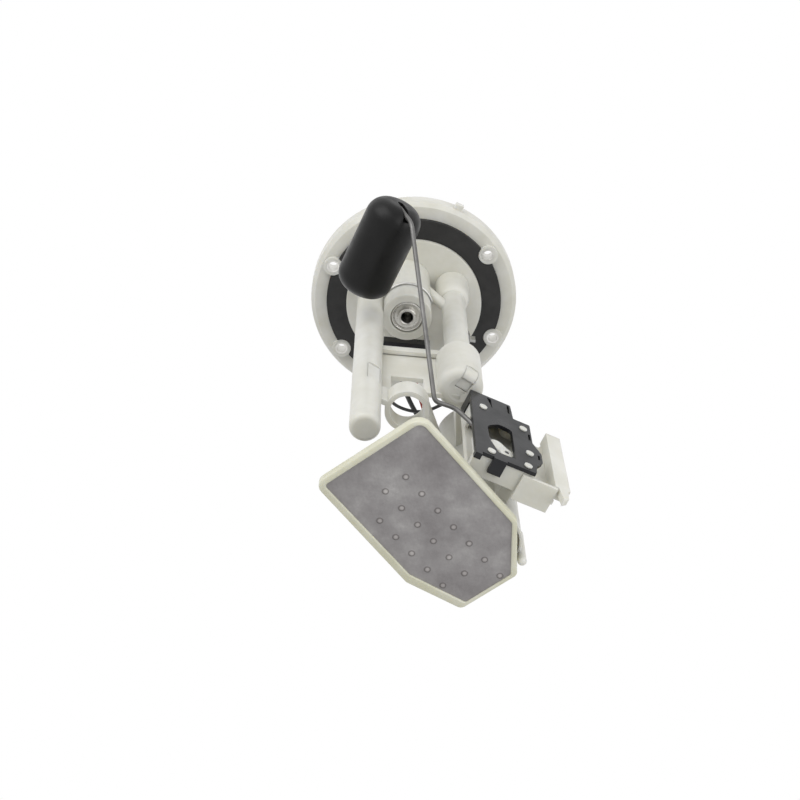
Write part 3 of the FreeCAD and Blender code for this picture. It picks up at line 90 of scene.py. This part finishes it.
def new_material(name):
    material = bpy.data.materials.new(name)
    material.use_nodes = True
    tree = material.node_tree
    tree.nodes.clear()
    output = tree.nodes.new("ShaderNodeOutputMaterial")
    shader = tree.nodes.new("ShaderNodeBsdfPrincipled")
    tree.links.new(shader.outputs["BSDF"], output.inputs["Surface"])
    return material, tree, shader


def place_node(tree):
    return tree.nodes.new("ShaderNodeTexCoord").outputs["Object"]


def noise_node(tree, scale, detail=4.0, roughness=0.55, stretch=None):
    noise = tree.nodes.new("ShaderNodeTexNoise")
    noise.inputs["Scale"].default_value = scale
    noise.inputs["Detail"].default_value = detail
    noise.inputs["Roughness"].default_value = roughness
    source = place_node(tree)
    if stretch:
        mapping = tree.nodes.new("ShaderNodeMapping")
        mapping.inputs["Scale"].default_value = stretch
        tree.links.new(source, mapping.inputs["Vector"])
        source = mapping.outputs["Vector"]
    tree.links.new(source, noise.inputs["Vector"])
    return noise.outputs["Fac"]


def ramp_node(tree, source, stops):
    ramp = tree.nodes.new("ShaderNodeValToRGB")
    elements = ramp.color_ramp.elements
    for index, (at, color) in enumerate(stops):
        element = elements[index] if index < len(elements) else elements.new(at)
        element.position = at
        element.color = (color[0], color[1], color[2], 1.0)
    tree.links.new(source, ramp.inputs["Fac"])
    return ramp.outputs["Color"]


def range_node(tree, source, low, high, from_low=0.3, from_high=0.7):
    span = tree.nodes.new("ShaderNodeMapRange")
    span.inputs["From Min"].default_value = from_low
    span.inputs["From Max"].default_value = from_high
    span.inputs["To Min"].default_value = low
    span.inputs["To Max"].default_value = high
    tree.links.new(source, span.inputs["Value"])
    return span.outputs["Result"]


def bump_chain(tree, shader, layers, edge=0.0):
    """Bumps one after another, each (height, distance, strength), over edges softened by a bevel."""
    normal = None
    if edge > 0.0:
        bevel = tree.nodes.new("ShaderNodeBevel")
        bevel.samples = 4
        bevel.inputs["Radius"].default_value = edge
        normal = bevel.outputs["Normal"]
    for height, distance, strength in layers:
        bump = tree.nodes.new("ShaderNodeBump")
        bump.inputs["Distance"].default_value = distance
        bump.inputs["Strength"].default_value = strength
        tree.links.new(height, bump.inputs["Height"])
        if normal:
            tree.links.new(normal, bump.inputs["Normal"])
        normal = bump.outputs["Normal"]
    tree.links.new(normal, shader.inputs["Normal"])


def moulding(name, light, dark, roughness, glow=0.0, edge=0.0003, grain=0.00003, level=0.5):
    """Moulded plastic: slow stains, fine grain, and a little light through it where glow is set."""
    material, tree, shader = new_material(name)
    stain = noise_node(tree, 38.0, 6.0, 0.6)
    tree.links.new(ramp_node(tree, stain, ((0.36, dark), (0.62, light))), shader.inputs["Base Color"])
    patches = noise_node(tree, 90.0, 5.0, 0.6)
    tree.links.new(range_node(tree, patches, roughness - 0.06, roughness + 0.1), shader.inputs["Roughness"])
    shader.inputs["IOR"].default_value = 1.48
    shader.inputs["Specular IOR Level"].default_value = level
    if glow > 0.0:
        shader.inputs["Subsurface Weight"].default_value = glow
        shader.inputs["Subsurface Radius"].default_value = (1.0, 0.92, 0.75)
        shader.inputs["Subsurface Scale"].default_value = 0.005
    fine = noise_node(tree, 1900.0, 2.0)
    slow = noise_node(tree, 160.0, 3.0)
    bump_chain(tree, shader, ((slow, 0.0002, 0.25), (fine, grain, 0.5)), edge)
    return material


def rubber(name, light, dark, roughness, grain_scale, grain, level=0.4):
    material, tree, shader = new_material(name)
    stain = noise_node(tree, 60.0, 5.0)
    tree.links.new(ramp_node(tree, stain, ((0.35, dark), (0.7, light))), shader.inputs["Base Color"])
    patches = noise_node(tree, 220.0, 4.0)
    tree.links.new(range_node(tree, patches, roughness - 0.08, roughness + 0.1), shader.inputs["Roughness"])
    shader.inputs["Specular IOR Level"].default_value = level
    grains = noise_node(tree, grain_scale, 3.0, 0.6)
    bump_chain(tree, shader, ((grains, grain, 0.5),), 0.0004)
    return material


def metal(name, light, dark, roughness, stretch=(1.0, 1.0, 1.0), scale=500.0, edge=0.00015):
    """Metal whose drawing or turning marks run along the axis that stretch shortens."""
    material, tree, shader = new_material(name)
    shader.inputs["Metallic"].default_value = 1.0
    tone = noise_node(tree, 70.0, 5.0, 0.6)
    tree.links.new(ramp_node(tree, tone, ((0.32, dark), (0.68, light))), shader.inputs["Base Color"])
    marks = noise_node(tree, scale, 4.0, 0.6, stretch)
    tree.links.new(range_node(tree, marks, roughness - 0.08, roughness + 0.12), shader.inputs["Roughness"])
    bump_chain(tree, shader, ((marks, 0.00003, 0.35),), edge)
    return material


def math_node(tree, kind, first, second=None, third=None):
    node = tree.nodes.new("ShaderNodeMath")
    node.operation = kind
    for index, value in enumerate((first, second, third)):
        if value is None:
            continue
        if isinstance(value, (int, float)):
            node.inputs[index].default_value = value
        else:
            tree.links.new(value, node.inputs[index])
    return node.outputs[0]


def multiply_node(tree, factor, first, second):
    mix = tree.nodes.new("ShaderNodeMix")
    mix.data_type = "RGBA"
    mix.blend_type = "MULTIPLY"
    mix.inputs["Factor"].default_value = factor
    tree.links.new(first, mix.inputs["A"])
    tree.links.new(second, mix.inputs["B"])
    return mix.outputs["Result"]


thread_pitch = 0.0009
peg_tip_z = -0.2355
peg_root_z = -0.2349


def filter_cloth(name):
    """Grey woven filter cloth: threads both ways, damp stains, and a painted highlight on each peg tip with a
    ring of painted shade round it.
    """
    material, tree, shader = new_material(name)
    mapping = tree.nodes.new("ShaderNodeMapping")
    mapping.inputs["Rotation"].default_value = (0.0, 0.0, -strainer_turn)
    tree.links.new(place_node(tree), mapping.inputs["Vector"])
    split = tree.nodes.new("ShaderNodeSeparateXYZ")
    tree.links.new(mapping.outputs["Vector"], split.inputs["Vector"])
    wave = 2 * math.pi / thread_pitch
    along = math_node(tree, "SINE", math_node(tree, "MULTIPLY", split.outputs["X"], wave))
    across = math_node(tree, "SINE", math_node(tree, "MULTIPLY", split.outputs["Y"], wave))
    weave = math_node(tree, "MULTIPLY", along, across)
    weave = math_node(tree, "MULTIPLY_ADD", weave, 0.5, 0.5)
    stain = noise_node(tree, 42.0, 8.0, 0.68)
    base = ramp_node(tree, stain, ((0.3, (0.24, 0.225, 0.226)), (0.5, (0.33, 0.315, 0.315)),
                                   (0.6, (0.4, 0.386, 0.382)), (0.72, (0.56, 0.545, 0.535))))
    # Painted highlight on each peg tip and a ring of painted shade on its slopes, set by height
    raised = range_node(tree, split.outputs["Z"], 0.0, 1.0, peg_tip_z, peg_root_z)
    peg_highlight_and_shade = ramp_node(tree, raised, ((0.0, (1.45, 1.43, 1.4)), (0.42, (0.42, 0.4, 0.39)),
                                     (0.8, (1.0, 1.0, 1.0))))
    base_with_peg_light = multiply_node(tree, 1.0, base, peg_highlight_and_shade)
    tree.links.new(multiply_node(tree, 0.22, base_with_peg_light, weave), shader.inputs["Base Color"])
    shader.inputs["Roughness"].default_value = 0.62
    wrinkle = noise_node(tree, 55.0, 6.0, 0.62)
    bump_chain(tree, shader, ((wrinkle, 0.0018, 0.55), (weave, 0.00012, 0.5)))
    return material


white = moulding("white_moulding", (0.7, 0.695, 0.65), (0.62, 0.612, 0.545), 0.36, 0.4)
cream = moulding("cream_moulding", (0.68, 0.672, 0.555), (0.58, 0.57, 0.42), 0.42, 0.3)
black = moulding("black_moulding", (0.012, 0.0125, 0.0145), (0.006, 0.0062, 0.0075), 0.3, level=0.32)
impeller_brown = moulding("impeller_moulding", (0.2, 0.16, 0.12), (0.13, 0.1, 0.07), 0.5)
ceramic = moulding("card_ceramic", (0.8, 0.8, 0.76), (0.7, 0.7, 0.66), 0.5)
gasket_black = rubber("gasket_rubber", (0.022, 0.0215, 0.021), (0.011, 0.0108, 0.0105), 0.6, 900.0, 0.00012)
float_black = rubber("float_rubber", (0.0075, 0.0075, 0.0075), (0.004, 0.004, 0.004), 0.36, 700.0, 0.00012,
                     level=0.22)
hose_black = rubber("hose_rubber", (0.03, 0.03, 0.032), (0.015, 0.015, 0.016), 0.55, 500.0, 0.00015)
carbon = rubber("brush_carbon", (0.06, 0.06, 0.06), (0.03, 0.03, 0.03), 0.6, 1500.0, 0.00008)
ferrite = rubber("magnet_ferrite", (0.08, 0.08, 0.08), (0.04, 0.04, 0.04), 0.65, 800.0, 0.00012)
lead_black = rubber("lead_black", (0.02, 0.02, 0.02), (0.012, 0.012, 0.012), 0.4, 600.0, 0.00006)
lead_red = rubber("lead_red", (0.42, 0.05, 0.02), (0.3, 0.03, 0.012), 0.4, 600.0, 0.00006)
lead_grey = rubber("lead_grey", (0.3, 0.3, 0.3), (0.22, 0.22, 0.22), 0.4, 600.0, 0.00006)
bushing_steel = metal("bushing_steel", (0.78, 0.77, 0.74), (0.55, 0.54, 0.5), 0.32)
regulator_steel = metal("regulator_steel", (0.74, 0.73, 0.7), (0.5, 0.49, 0.46), 0.3)
casing_steel = metal("casing_steel", (0.76, 0.76, 0.74), (0.6, 0.6, 0.58), 0.3, (1.0, 1.0, 0.1))
spring_steel = metal("spring_steel", (0.6, 0.6, 0.58), (0.4, 0.4, 0.39), 0.32)
arm_steel = metal("arm_steel", (0.2, 0.197, 0.192), (0.13, 0.128, 0.125), 0.5)
aluminium = metal("pump_aluminium", (0.78, 0.78, 0.78), (0.6, 0.6, 0.6), 0.4)
bronze = metal("bearing_bronze", (0.68, 0.46, 0.24), (0.45, 0.3, 0.16), 0.42)
copper = metal("winding_copper", (0.8, 0.42, 0.22), (0.5, 0.24, 0.12), 0.35, (1.0, 1.0, 8.0))
contact = metal("contact_metal", (0.8, 0.76, 0.66), (0.6, 0.56, 0.46), 0.3)
cloth = filter_cloth("mesh_nylon")

finish_of = {
    "white_moulding": white, "cream_moulding": cream, "black_moulding": black,
    "impeller_moulding": impeller_brown, "card_ceramic": ceramic, "gasket_rubber": gasket_black,
    "float_rubber": float_black, "hose_rubber": hose_black, "brush_carbon": carbon, "magnet_ferrite": ferrite,
    "lead_black": lead_black, "lead_red": lead_red, "lead_grey": lead_grey, "bushing_steel": bushing_steel,
    "regulator_steel": regulator_steel, "casing_steel": casing_steel, "spring_steel": spring_steel,
    "arm_steel": arm_steel, "pump_aluminium": aluminium, "bearing_bronze": bronze, "winding_copper": copper,
    "contact_metal": contact, "mesh_nylon": cloth,
}
slot_of = {part["node"]: part["material_slot"] for part in frame["record"]["subparts"]}
for node, piece in frame["nodes"].items():
    piece.data.materials.clear()
    piece.data.materials.append(finish_of[slot_of[node]])


# Leads, on the same corners as in part.py, in millimetres

def place_point(a, b, z):
    """A point of the level sender, across, forward and up, in the module's own frame."""
    return (sender_corner[0] + a * math.cos(sender_turn) + b * math.sin(sender_turn),
            sender_corner[1] + a * math.sin(sender_turn) - b * math.cos(sender_turn), z)


lead_routes = {
    "lead_pump_negative": ((-5.5, 27.0, -22.0), (-5.5, 27.0, -42.0), (-5.0, 25.0, -70.0), (0.0, 28.0, -90.0),
                           (8.0, 36.0, -100.0), (18.0, 42.7, -101.5), (29.5, 42.7, -101.5)),
    "lead_pump_positive": ((0.5, 27.0, -22.0), (0.5, 27.0, -41.0), (2.0, 24.5, -62.0), (6.0, 28.0, -80.0),
                           (12.0, 39.0, -93.0), (19.0, 47.5, -98.5), (29.5, 47.5, -98.5)),
    "lead_sender_signal": ((-11.5, 27.0, -22.0), (-11.5, 27.0, -40.0), (-14.0, 27.0, -58.0),
                           (-14.5, 27.5, -77.0), (-11.0, 27.5, -94.0), (-1.0, 28.0, -101.0),
                           (9.0, 26.5, -103.0), (18.0, 19.0, -106.0), (26.5, 10.0, -113.0),
                           (32.5, 2.5, -125.0), (35.4, -3.0, -139.0), place_point(-12.5, 37.0, -154.6)),
    "lead_sender_ground": ((6.5, 27.0, -22.0), (6.5, 27.0, -38.0), (8.0, 25.0, -56.0), (11.0, 22.0, -74.0),
                           (17.0, 17.0, -91.0), (27.0, 10.0, -105.0), (35.0, 4.0, -120.0),
                           (39.4, -1.4, -137.0), place_point(-8.0, 37.0, -154.6)),
}
lead_radius = {"lead_pump_negative": 1.4, "lead_pump_positive": 1.4, "lead_sender_signal": 0.95,
               "lead_sender_ground": 0.95}
lead_finish = {"lead_pump_negative": lead_black, "lead_pump_positive": lead_red,
               "lead_sender_signal": lead_black, "lead_sender_ground": lead_grey}


def make_wire(name, route, radius, finish, steps, roundness):
    """Round wire on a smooth curve, which the points of the route pull towards them."""
    curve = bpy.data.curves.new(name, "CURVE")
    curve.dimensions = "3D"
    curve.bevel_depth = radius
    curve.bevel_resolution = roundness
    curve.use_fill_caps = True
    curve.resolution_u = steps
    spline = curve.splines.new("NURBS")
    spline.points.add(len(route) - 1)
    for point, spot in zip(spline.points, route):
        point.co = (spot.x, spot.y, spot.z, 1.0)
    spline.order_u = 3
    spline.use_endpoint_u = True
    curve.materials.append(finish)
    wire = bpy.data.objects.new(name, curve)
    scene.collection.objects.link(wire)
    return wire


def make_lead(node):
    route = [Vector(point) / 1000.0 for point in lead_routes[node]]
    wire = make_wire(node + "_wire", route, lead_radius[node] / 1000.0, lead_finish[node], 14, 5)
    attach(wire, "module")
    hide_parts(node)


for node in lead_routes:
    make_lead(node)


# Forms that the photograph shows beyond the CAD solids, in millimetres

def row_spot(x, y, z):
    return Vector((x, y, z)) / 1000.0


def sender_spot(a, b, z):
    return Vector(place_point(a, b, z)) / 1000.0


def strainer_spot(u, v, z):
    """A point of the strainer, along its long side, across and up."""
    return row_spot(strainer_corner[0] + u * math.cos(strainer_turn) - v * math.sin(strainer_turn),
                    strainer_corner[1] + u * math.sin(strainer_turn) + v * math.cos(strainer_turn), z)


def turned(p, q, turn):
    return p * math.cos(turn) - q * math.sin(turn), p * math.sin(turn) + q * math.cos(turn)


def circle_turns(steps):
    return [2.0 * math.pi * step / steps for step in range(steps)]


def outward_mesh(name, points, faces):
    mesh = bpy.data.meshes.new(name)
    mesh.from_pydata(points, [], faces)
    work = bmesh.new()
    work.from_mesh(mesh)
    bmesh.ops.recalc_face_normals(work, faces=work.faces)
    work.to_mesh(mesh)
    work.free()
    return mesh


def make_piece(name, points, faces, slot, body, nodes=()):
    """Visible piece that rides on a body and stands for the named CAD nodes."""
    mesh = outward_mesh(name, points, faces)
    mesh.shade_smooth()
    mesh.set_sharp_from_angle(angle=math.radians(32.0))
    mesh.materials.append(finish_of[slot])
    piece = bpy.data.objects.new(name, mesh)
    scene.collection.objects.link(piece)
    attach(piece, body)
    if nodes:
        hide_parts(*nodes)
    return piece


def band_mesh(loops, first=0, wrap=True):
    """Points and faces of a skin through loops of equal length; it closes on its first loop with wrap."""
    size = len(loops[0])
    points = [point for loop in loops for point in loop]
    faces = []
    for index in range(len(loops) if wrap else len(loops) - 1):
        low = first + index * size
        high = first + (index + 1) % len(loops) * size
        for step in range(size):
            after = (step + 1) % size
            faces.append((low + step, low + after, high + after, high + step))
    return points, faces


def lathe(name, profile, spot, slot, body, nodes=(), steps=96):
    """Turned piece: profile points are radius and height, and spot places them."""
    points, faces = band_mesh([[spot(radius * math.cos(turn), radius * math.sin(turn), height)
                                for turn in circle_turns(steps)] for radius, height in profile])
    return make_piece(name, points, faces, slot, body, nodes)


def prism_mesh(outline, low, high, spot, first=0):
    """Points and faces of an outline drawn out from low to high, numbered from first."""
    size = len(outline)
    loops = [[spot(p, q, height) for p, q in outline] for height in (low, high)]
    points, faces = band_mesh(loops, first, False)
    faces.append(tuple(first + index for index in range(size)))
    faces.append(tuple(first + size + index for index in range(size)))
    return points, faces


def arc(x, y, radius, start, end, steps=8):
    turns = [math.radians(start + (end - start) * step / steps) for step in range(steps + 1)]
    return [(x + radius * math.cos(turn), y + radius * math.sin(turn)) for turn in turns]


def rounded(corners, steps=6):
    """Outline through corners given as x, y and radius, each turned into an arc."""
    outline = []
    for index, (x, y, radius) in enumerate(corners):
        here = Vector((x, y))
        before = (Vector(corners[index - 1][:2]) - here).normalized()
        after = (Vector(corners[(index + 1) % len(corners)][:2]) - here).normalized()
        half = before.angle(after) / 2.0
        middle = here + (before + after).normalized() * (radius / math.sin(half))
        start = here + before * (radius / math.tan(half)) - middle
        end = here + after * (radius / math.tan(half)) - middle
        first = math.degrees(math.atan2(start.y, start.x))
        sweep = (math.degrees(math.atan2(end.y, end.x)) - first + 180.0) % 360.0 - 180.0
        outline += arc(middle.x, middle.y, radius, first, first + sweep, steps)
    return outline


def inset(outline, distance):
    """Outline that runs anticlockwise, moved inwards by the distance."""
    moved = []
    for index, (x, y) in enumerate(outline):
        run = Vector(outline[(index + 1) % len(outline)]) - Vector(outline[index - 1])
        run.normalize()
        moved.append((x - run.y * distance, y + run.x * distance))
    return moved


# Regulator: the cup runs on below the CAD cup, with the shell's neck in its opening round the snout
def cup_spot(p, q, z):
    return row_spot(regulator_middle[0] + p, regulator_middle[1] + q, z)


neck = 9.5
lathe("regulator_cap_ring", [(9.8, -46.1), (12.1, -46.1), (12.1, -50.05), (14.6, -50.05)]
      + arc(13.8, -63.2, 0.8, 0.0, -90.0) + arc(10.4, -63.4, 0.6, -90.0, -180.0),
      cup_spot, "white_moulding", "module", ("regulator_cap",))
lathe("regulator_seal_ring", [(neck + 0.05, -45.9), (12.15, -45.9), (12.15, -43.05), (neck + 0.05, -43.05)],
      cup_spot, "gasket_rubber", "module", ("regulator_seal",))
lathe("regulator_lower_shell", [(4.85, -61.8), (7.4, -61.8), (7.7, -62.3)]
      + arc(8.75, -62.3, 0.7, 180.0, 360.0)
      + [(neck, -61.6), (neck, -43.9), (10.4, -43.0), (10.4, -25.7), (9.4, -25.7), (9.4, -42.4), (8.5, -43.4),
         (8.5, -60.8), (4.85, -60.8)],
      cup_spot, "regulator_steel", "module", ("regulator_shell",))
lathe("regulator_return_snout", [(3.6, -29.4), (4.8, -29.4), (4.8, -62.6), (5.5, -63.6)]
      + arc(5.0, -64.0, 0.6, 0.0, -90.0) + [(4.1, -64.5), (3.6, -64.0)],
      cup_spot, "regulator_steel", "module", ("regulator_snout",))


# Wound springs, which shorten as the valve that they press on lifts
coil_steps = 24
coil_sides = 8
end_turns = 0.75


def coil_mesh(x, y, low, high, radius, wire, turns, first=0):
    """Points and faces of a spring with flat end turns, numbered from first."""
    loops = []
    for index in range(int(turns * coil_steps) + 1):
        turn = 2.0 * math.pi * index / coil_steps
        share = min(max((index / coil_steps - end_turns) / (turns - 2.0 * end_turns), 0.0), 1.0)
        height = low + wire + (high - low - 2.0 * wire) * share
        loops.append([row_spot(x + (radius - wire + wire * math.cos(side)) * math.cos(turn),
                               y + (radius - wire + wire * math.cos(side)) * math.sin(turn),
                               height + wire * math.sin(side))
                      for side in circle_turns(coil_sides)])
    points, faces = band_mesh(loops, first, False)
    faces.append(tuple(first + index for index in range(coil_sides)))
    faces.append(tuple(first + len(points) - coil_sides + index for index in range(coil_sides)))
    return points, faces


points, faces = coil_mesh(*regulator_middle, -25.78, -10.02, 6.0, 0.6, 7.0)
spring = make_piece("regulator_coil", points, faces, "spring_steel", "module", ("regulator_spring",))
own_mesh(spring)
points, faces = coil_mesh(*outlet_middle, -102.58, -94.02, 2.2, 0.3, 8.0)
spring = make_piece("check_valve_coil", points, faces, "spring_steel", "module", ("check_valve_spring",))
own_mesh(spring)
brush_offset = 6.2
points, faces = [], []
for x in (pump_middle[0] - brush_offset, pump_middle[0] + brush_offset):
    more_points, more_faces = coil_mesh(x, pump_middle[1], -118.88, -111.82, 1.8, 0.3, 8.0, len(points))
    points += more_points
    faces += more_faces
make_piece("brush_coils", points, faces, "spring_steel", "module", ("brush_springs",))
membrane_profile = [(1.55, -27.37), (7.6, -27.37), (8.4, -26.6), (9.0, -25.4), (9.4, -24.98), (10.35, -24.98),
                    (10.35, -24.42), (9.2, -24.42), (8.6, -24.9), (8.0, -26.1), (7.4, -26.78), (1.55, -26.78)]
diaphragm = lathe("regulator_membrane", membrane_profile, cup_spot, "gasket_rubber", "module",
                  ("regulator_diaphragm",))
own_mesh(diaphragm)


# Latches of the posts, which fill the windows of the carrier
latch_turn = math.radians(-62.0)


def latch(name, post, profile, half):
    """Hook whose profile, outwards and up, lies across the side of a post."""
    def spot(p, z, side):
        x, y = turned(p, side, latch_turn)
        return row_spot(post[0] + x, post[1] + y, z)

    points, faces = prism_mesh(profile, -half, half, spot)
    make_piece(name, points, faces, "white_moulding", "module")


latch("left_latch", left_post, [(5.2, -166.7), (7.0, -166.7), (7.0, -149.3), (5.2, -149.3)], 3.7)
latch("right_latch", right_post, [(0.5, -153.7), (6.9, -153.7), (6.9, -155.2)]
      + arc(7.5, -150.9, 4.3, -90.0, 0.0) + [(11.8, -149.2), (0.5, -149.2)], 3.8)


# Strainer: the rim, its bars and neck, and the two cloths on the outlines of the photograph
rim_outline = rounded(((-2.5, 32.6, 5.0), (2.2, -32.3, 8.0), (78.3, -31.3, 3.0), (103.2, -11.8, 3.0),
                       (100.9, 22.8, 4.0), (70.2, 34.3, 4.0)))
opening_outline = rounded(((1.0, 29.0, 2.0), (4.9, -29.7, 4.0), (77.4, -28.7, 3.0), (100.9, -9.4, 2.0),
                           (99.2, 18.6, 1.5), (67.9, 29.9, 1.5)))
rim_low, rim_high = -236.0, -230.0
neck_u, neck_v = 80.8, -6.9
bar_half, bar_height = 2.5, 1.6
peg_pitch = 12.45
peg_rows = ((23.2, -4.8, 7), (23.0, 8.1, 6), (34.0, 21.1, 5))
peg_profile = ((2.3, -234.9), (2.0, -235.06), (1.5, -235.22), (1.0, -235.42), (0.5, -235.5), (0.02, -235.5),
               (0.02, -234.9))


def neck_spot(p, q, z):
    return strainer_spot(neck_u + p, neck_v + q, z)


def strainer_loop(outline, z):
    return [strainer_spot(u, v, z) for u, v in outline]


section = [(1.0, rim_low), (0.3, rim_low + 0.3), (0.0, rim_low + 1.0),
           (0.0, rim_high - 1.0), (0.3, rim_high - 0.3), (1.0, rim_high)]
loops = [strainer_loop(inset(rim_outline, distance), z) for distance, z in section]
loops += [strainer_loop(opening_outline, rim_high), strainer_loop(opening_outline, rim_low + 0.5),
          strainer_loop(inset(opening_outline, -0.5), rim_low)]
points, faces = band_mesh(loops)
for outline in (((neck_u - bar_half, -27.0), (neck_u + bar_half, -23.0), (neck_u + bar_half, 25.6),
                 (neck_u - bar_half, 27.4)),
                ((2.2, neck_v - bar_half), (neck_u, neck_v - bar_half), (neck_u, neck_v + bar_half),
                 (2.2, neck_v + bar_half))):
    more_points, more_faces = prism_mesh(outline, rim_high, rim_high + bar_height, strainer_spot, len(points))
    points += more_points
    faces += more_faces
make_piece("strainer_rim", points, faces, "cream_moulding", "module", ("strainer_frame",))
lathe("strainer_neck", [(6.05, rim_high - 0.5), (13.0, rim_high - 0.5), (13.0, rim_high + 1.7),
                        (8.9, rim_high + 2.2), (8.5, -216.0), (6.05, -216.0)],
      neck_spot, "cream_moulding", "module")
points, faces = [], []
for low, high in ((-235.0, -234.4), (-230.6, -230.05)):
    more_points, more_faces = prism_mesh(inset(opening_outline, -0.1), low, high, strainer_spot, len(points))
    points += more_points
    faces += more_faces
for first_u, v, count in peg_rows:
    for index in range(count):
        u = first_u + peg_pitch * index
        loops = [[strainer_spot(u + radius * math.cos(turn), v + radius * math.sin(turn), z)
                  for turn in circle_turns(20)] for radius, z in peg_profile]
        more_points, more_faces = band_mesh(loops, len(points))
        points += more_points
        faces += more_faces
make_piece("strainer_cloth", points, faces, "mesh_nylon", "module", ("strainer_mesh",))


# Sleeve: the skirt above the strainer and the round-ended lug on its side
lug_turn = math.radians(14.0)
lug_distance = 21.8


def sleeve_spot(p, q, z):
    return row_spot(pump_middle[0] + p, pump_middle[1] + q, z)


def lug_spot(p, q, z):
    return sleeve_spot(lug_distance * math.cos(lug_turn) + p, lug_distance * math.sin(lug_turn) + q, z)


lathe("sleeve_skirt", [(19.3, -214.9), (20.8, -214.9), (20.8, -226.7), (20.5, -227.0), (19.3, -227.0)],
      sleeve_spot, "white_moulding", "module")
lathe("sleeve_lug", [(0.02, -206.0), (2.0, -206.0), (2.4, -206.4)] + arc(0.0, -232.6, 2.4, 0.0, -89.0, 10),
      lug_spot, "white_moulding", "module", steps=40)


# Rotor with a round hub and a short arm, both turning about the pin of the float arm
rotor_turn = math.radians(131.0)


def hub_spot(p, q, b):
    return sender_spot(pivot_a + p, b, pivot_z + q)


def rotor_spot(p, q, b):
    return hub_spot(*turned(p, q, rotor_turn), b)


lathe("rotor_hub", [(1.3, 36.9), (4.2, 36.9), (4.2, 43.7), (3.8, 44.1), (1.3, 44.1)], hub_spot,
      "white_moulding", "level_arm", ("rotor",))
rotor_arm_half = 3.6
rotor_arm_outline = ([(0.0, -rotor_arm_half)] + arc(8.0, 0.0, rotor_arm_half, -90.0, 90.0)
                     + [(0.0, rotor_arm_half)])
points, faces = prism_mesh(rotor_arm_outline, 36.95, 43.8, rotor_spot)
make_piece("rotor_arm", points, faces, "white_moulding", "level_arm")
# Disc for the pin's end near the mouth of the hub's bore, made black as painted shade of the hole
lathe("rotor_pin_end_shade", [(0.02, 43.6), (1.1, 43.6), (1.1, 44.05), (0.02, 44.05)], hub_spot, "black_moulding",
      "level_arm", steps=32)


# Float: a rounded drum with a slot for the bent wire, and the wire itself
shoulder_a, shoulder_z = -84.1, -104.5
pin_plane, arm_plane, float_plane, wire_end = 33.1, 42.3, 101.6, 60.0
slot_half = 1.7


def float_spot(p, q, b):
    return sender_spot(float_a + p, b, float_z + q)


drum = lathe("float_drum", [(0.02, 46.1)] + arc(5.6, 56.5, 10.4, -90.0, 0.0, 12)
             + arc(5.6, 93.3, 10.4, 0.0, 90.0, 12) + [(0.02, 103.7)], float_spot, "float_rubber", "level_arm",
             ("float",))
slot_turn = math.atan2(shoulder_z - float_z, shoulder_a - float_a)
slot_outline = ([(0.0, -slot_half), (32.0, -slot_half), (32.0, slot_half), (0.0, slot_half)]
                + arc(0.0, 0.0, slot_half, 90.0, 270.0)[1:-1])


def slot_spot(p, q, b):
    return float_spot(*turned(p, q, slot_turn), b)


points, faces = prism_mesh(slot_outline, 98.7, 105.0, slot_spot)
cutter = bpy.data.objects.new("float_slot", outward_mesh("float_slot", points, faces))
scene.collection.objects.link(cutter)
cut = drum.modifiers.new("slot", "BOOLEAN")
cut.operation = "DIFFERENCE"
cut.solver = "EXACT"
cut.object = cutter
bpy.context.view_layer.update()
shape = bpy.data.meshes.new_from_object(drum.evaluated_get(bpy.context.evaluated_depsgraph_get()))
drum.modifiers.clear()
drum.data = shape
shape.name = "float_drum"
bpy.data.objects.remove(cutter)

# Corners of the arm as across, forward, up and bend; each bend pulls the wire to its corner from both sides
arm_corners = ((pivot_a, arm_plane, pivot_z, 3.0), (-31.7, arm_plane, -178.2, 9.0),
               (-43.8, arm_plane, -180.4, 5.5), (shoulder_a, float_plane, shoulder_z, 7.0),
               (float_a, float_plane, float_z, 5.0))
wire_start = sender_spot(pivot_a, pin_plane, pivot_z)
wire_stop = sender_spot(float_a, wire_end, float_z)
corner_spots = [wire_start] + [sender_spot(a, b, z) for a, b, z, bend in arm_corners] + [wire_stop]
route = [wire_start]
for index, (a, b, z, bend) in enumerate(arm_corners):
    before, here, after = corner_spots[index:index + 3]
    route += [here + (before - here).normalized() * bend / 1000.0, here,
              here + (after - here).normalized() * bend / 1000.0]
route.append(wire_stop)
float_wire = make_wire("float_wire", route, 0.00125, arm_steel, 10, 6)
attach(float_wire, "level_arm")
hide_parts("float_arm")


# Light: a white room, with large soft lamps beside the camera

world = bpy.data.worlds.new("white_room")
scene.world = world
world.use_nodes = True
tree = world.node_tree
tree.nodes.clear()
output = tree.nodes.new("ShaderNodeOutputWorld")
rays = tree.nodes.new("ShaderNodeLightPath")
seen = math_node(tree, "MAXIMUM", rays.outputs["Is Camera Ray"], rays.outputs["Is Transmission Ray"])
seen = math_node(tree, "MAXIMUM", seen, rays.outputs["Is Glossy Ray"])
mix = tree.nodes.new("ShaderNodeMixShader")
tree.links.new(seen, mix.inputs["Fac"])
room_strength, backdrop_strength = 0.6, 1.0
for index, strength in ((1, room_strength), (2, backdrop_strength)):
    white_light = tree.nodes.new("ShaderNodeBackground")
    white_light.inputs["Color"].default_value = (1.0, 1.0, 1.0, 1.0)
    white_light.inputs["Strength"].default_value = strength
    tree.links.new(white_light.outputs["Background"], mix.inputs[index])
tree.links.new(mix.outputs["Shader"], output.inputs["Surface"])


def lamp(name, right, up, back, size, energy):
    """Square lamp placed by the picture's own directions, aimed at the middle of the module."""
    middle = Vector((0.0, 0.0, -0.12))
    place = middle + image_right * right + image_up * up - look * back
    data = bpy.data.lights.new(name, "AREA")
    data.shape = "SQUARE"
    data.size = size
    data.energy = energy
    light = bpy.data.objects.new(name, data)
    light.location = place
    light.rotation_euler = (middle - place).to_track_quat("-Z", "Y").to_euler()
    scene.collection.objects.link(light)


lamp("key_lamp", -0.45, 0.75, 0.55, 0.9, 6.0)
lamp("fill_lamp", 0.8, 0.1, 0.7, 0.9, 4.0)
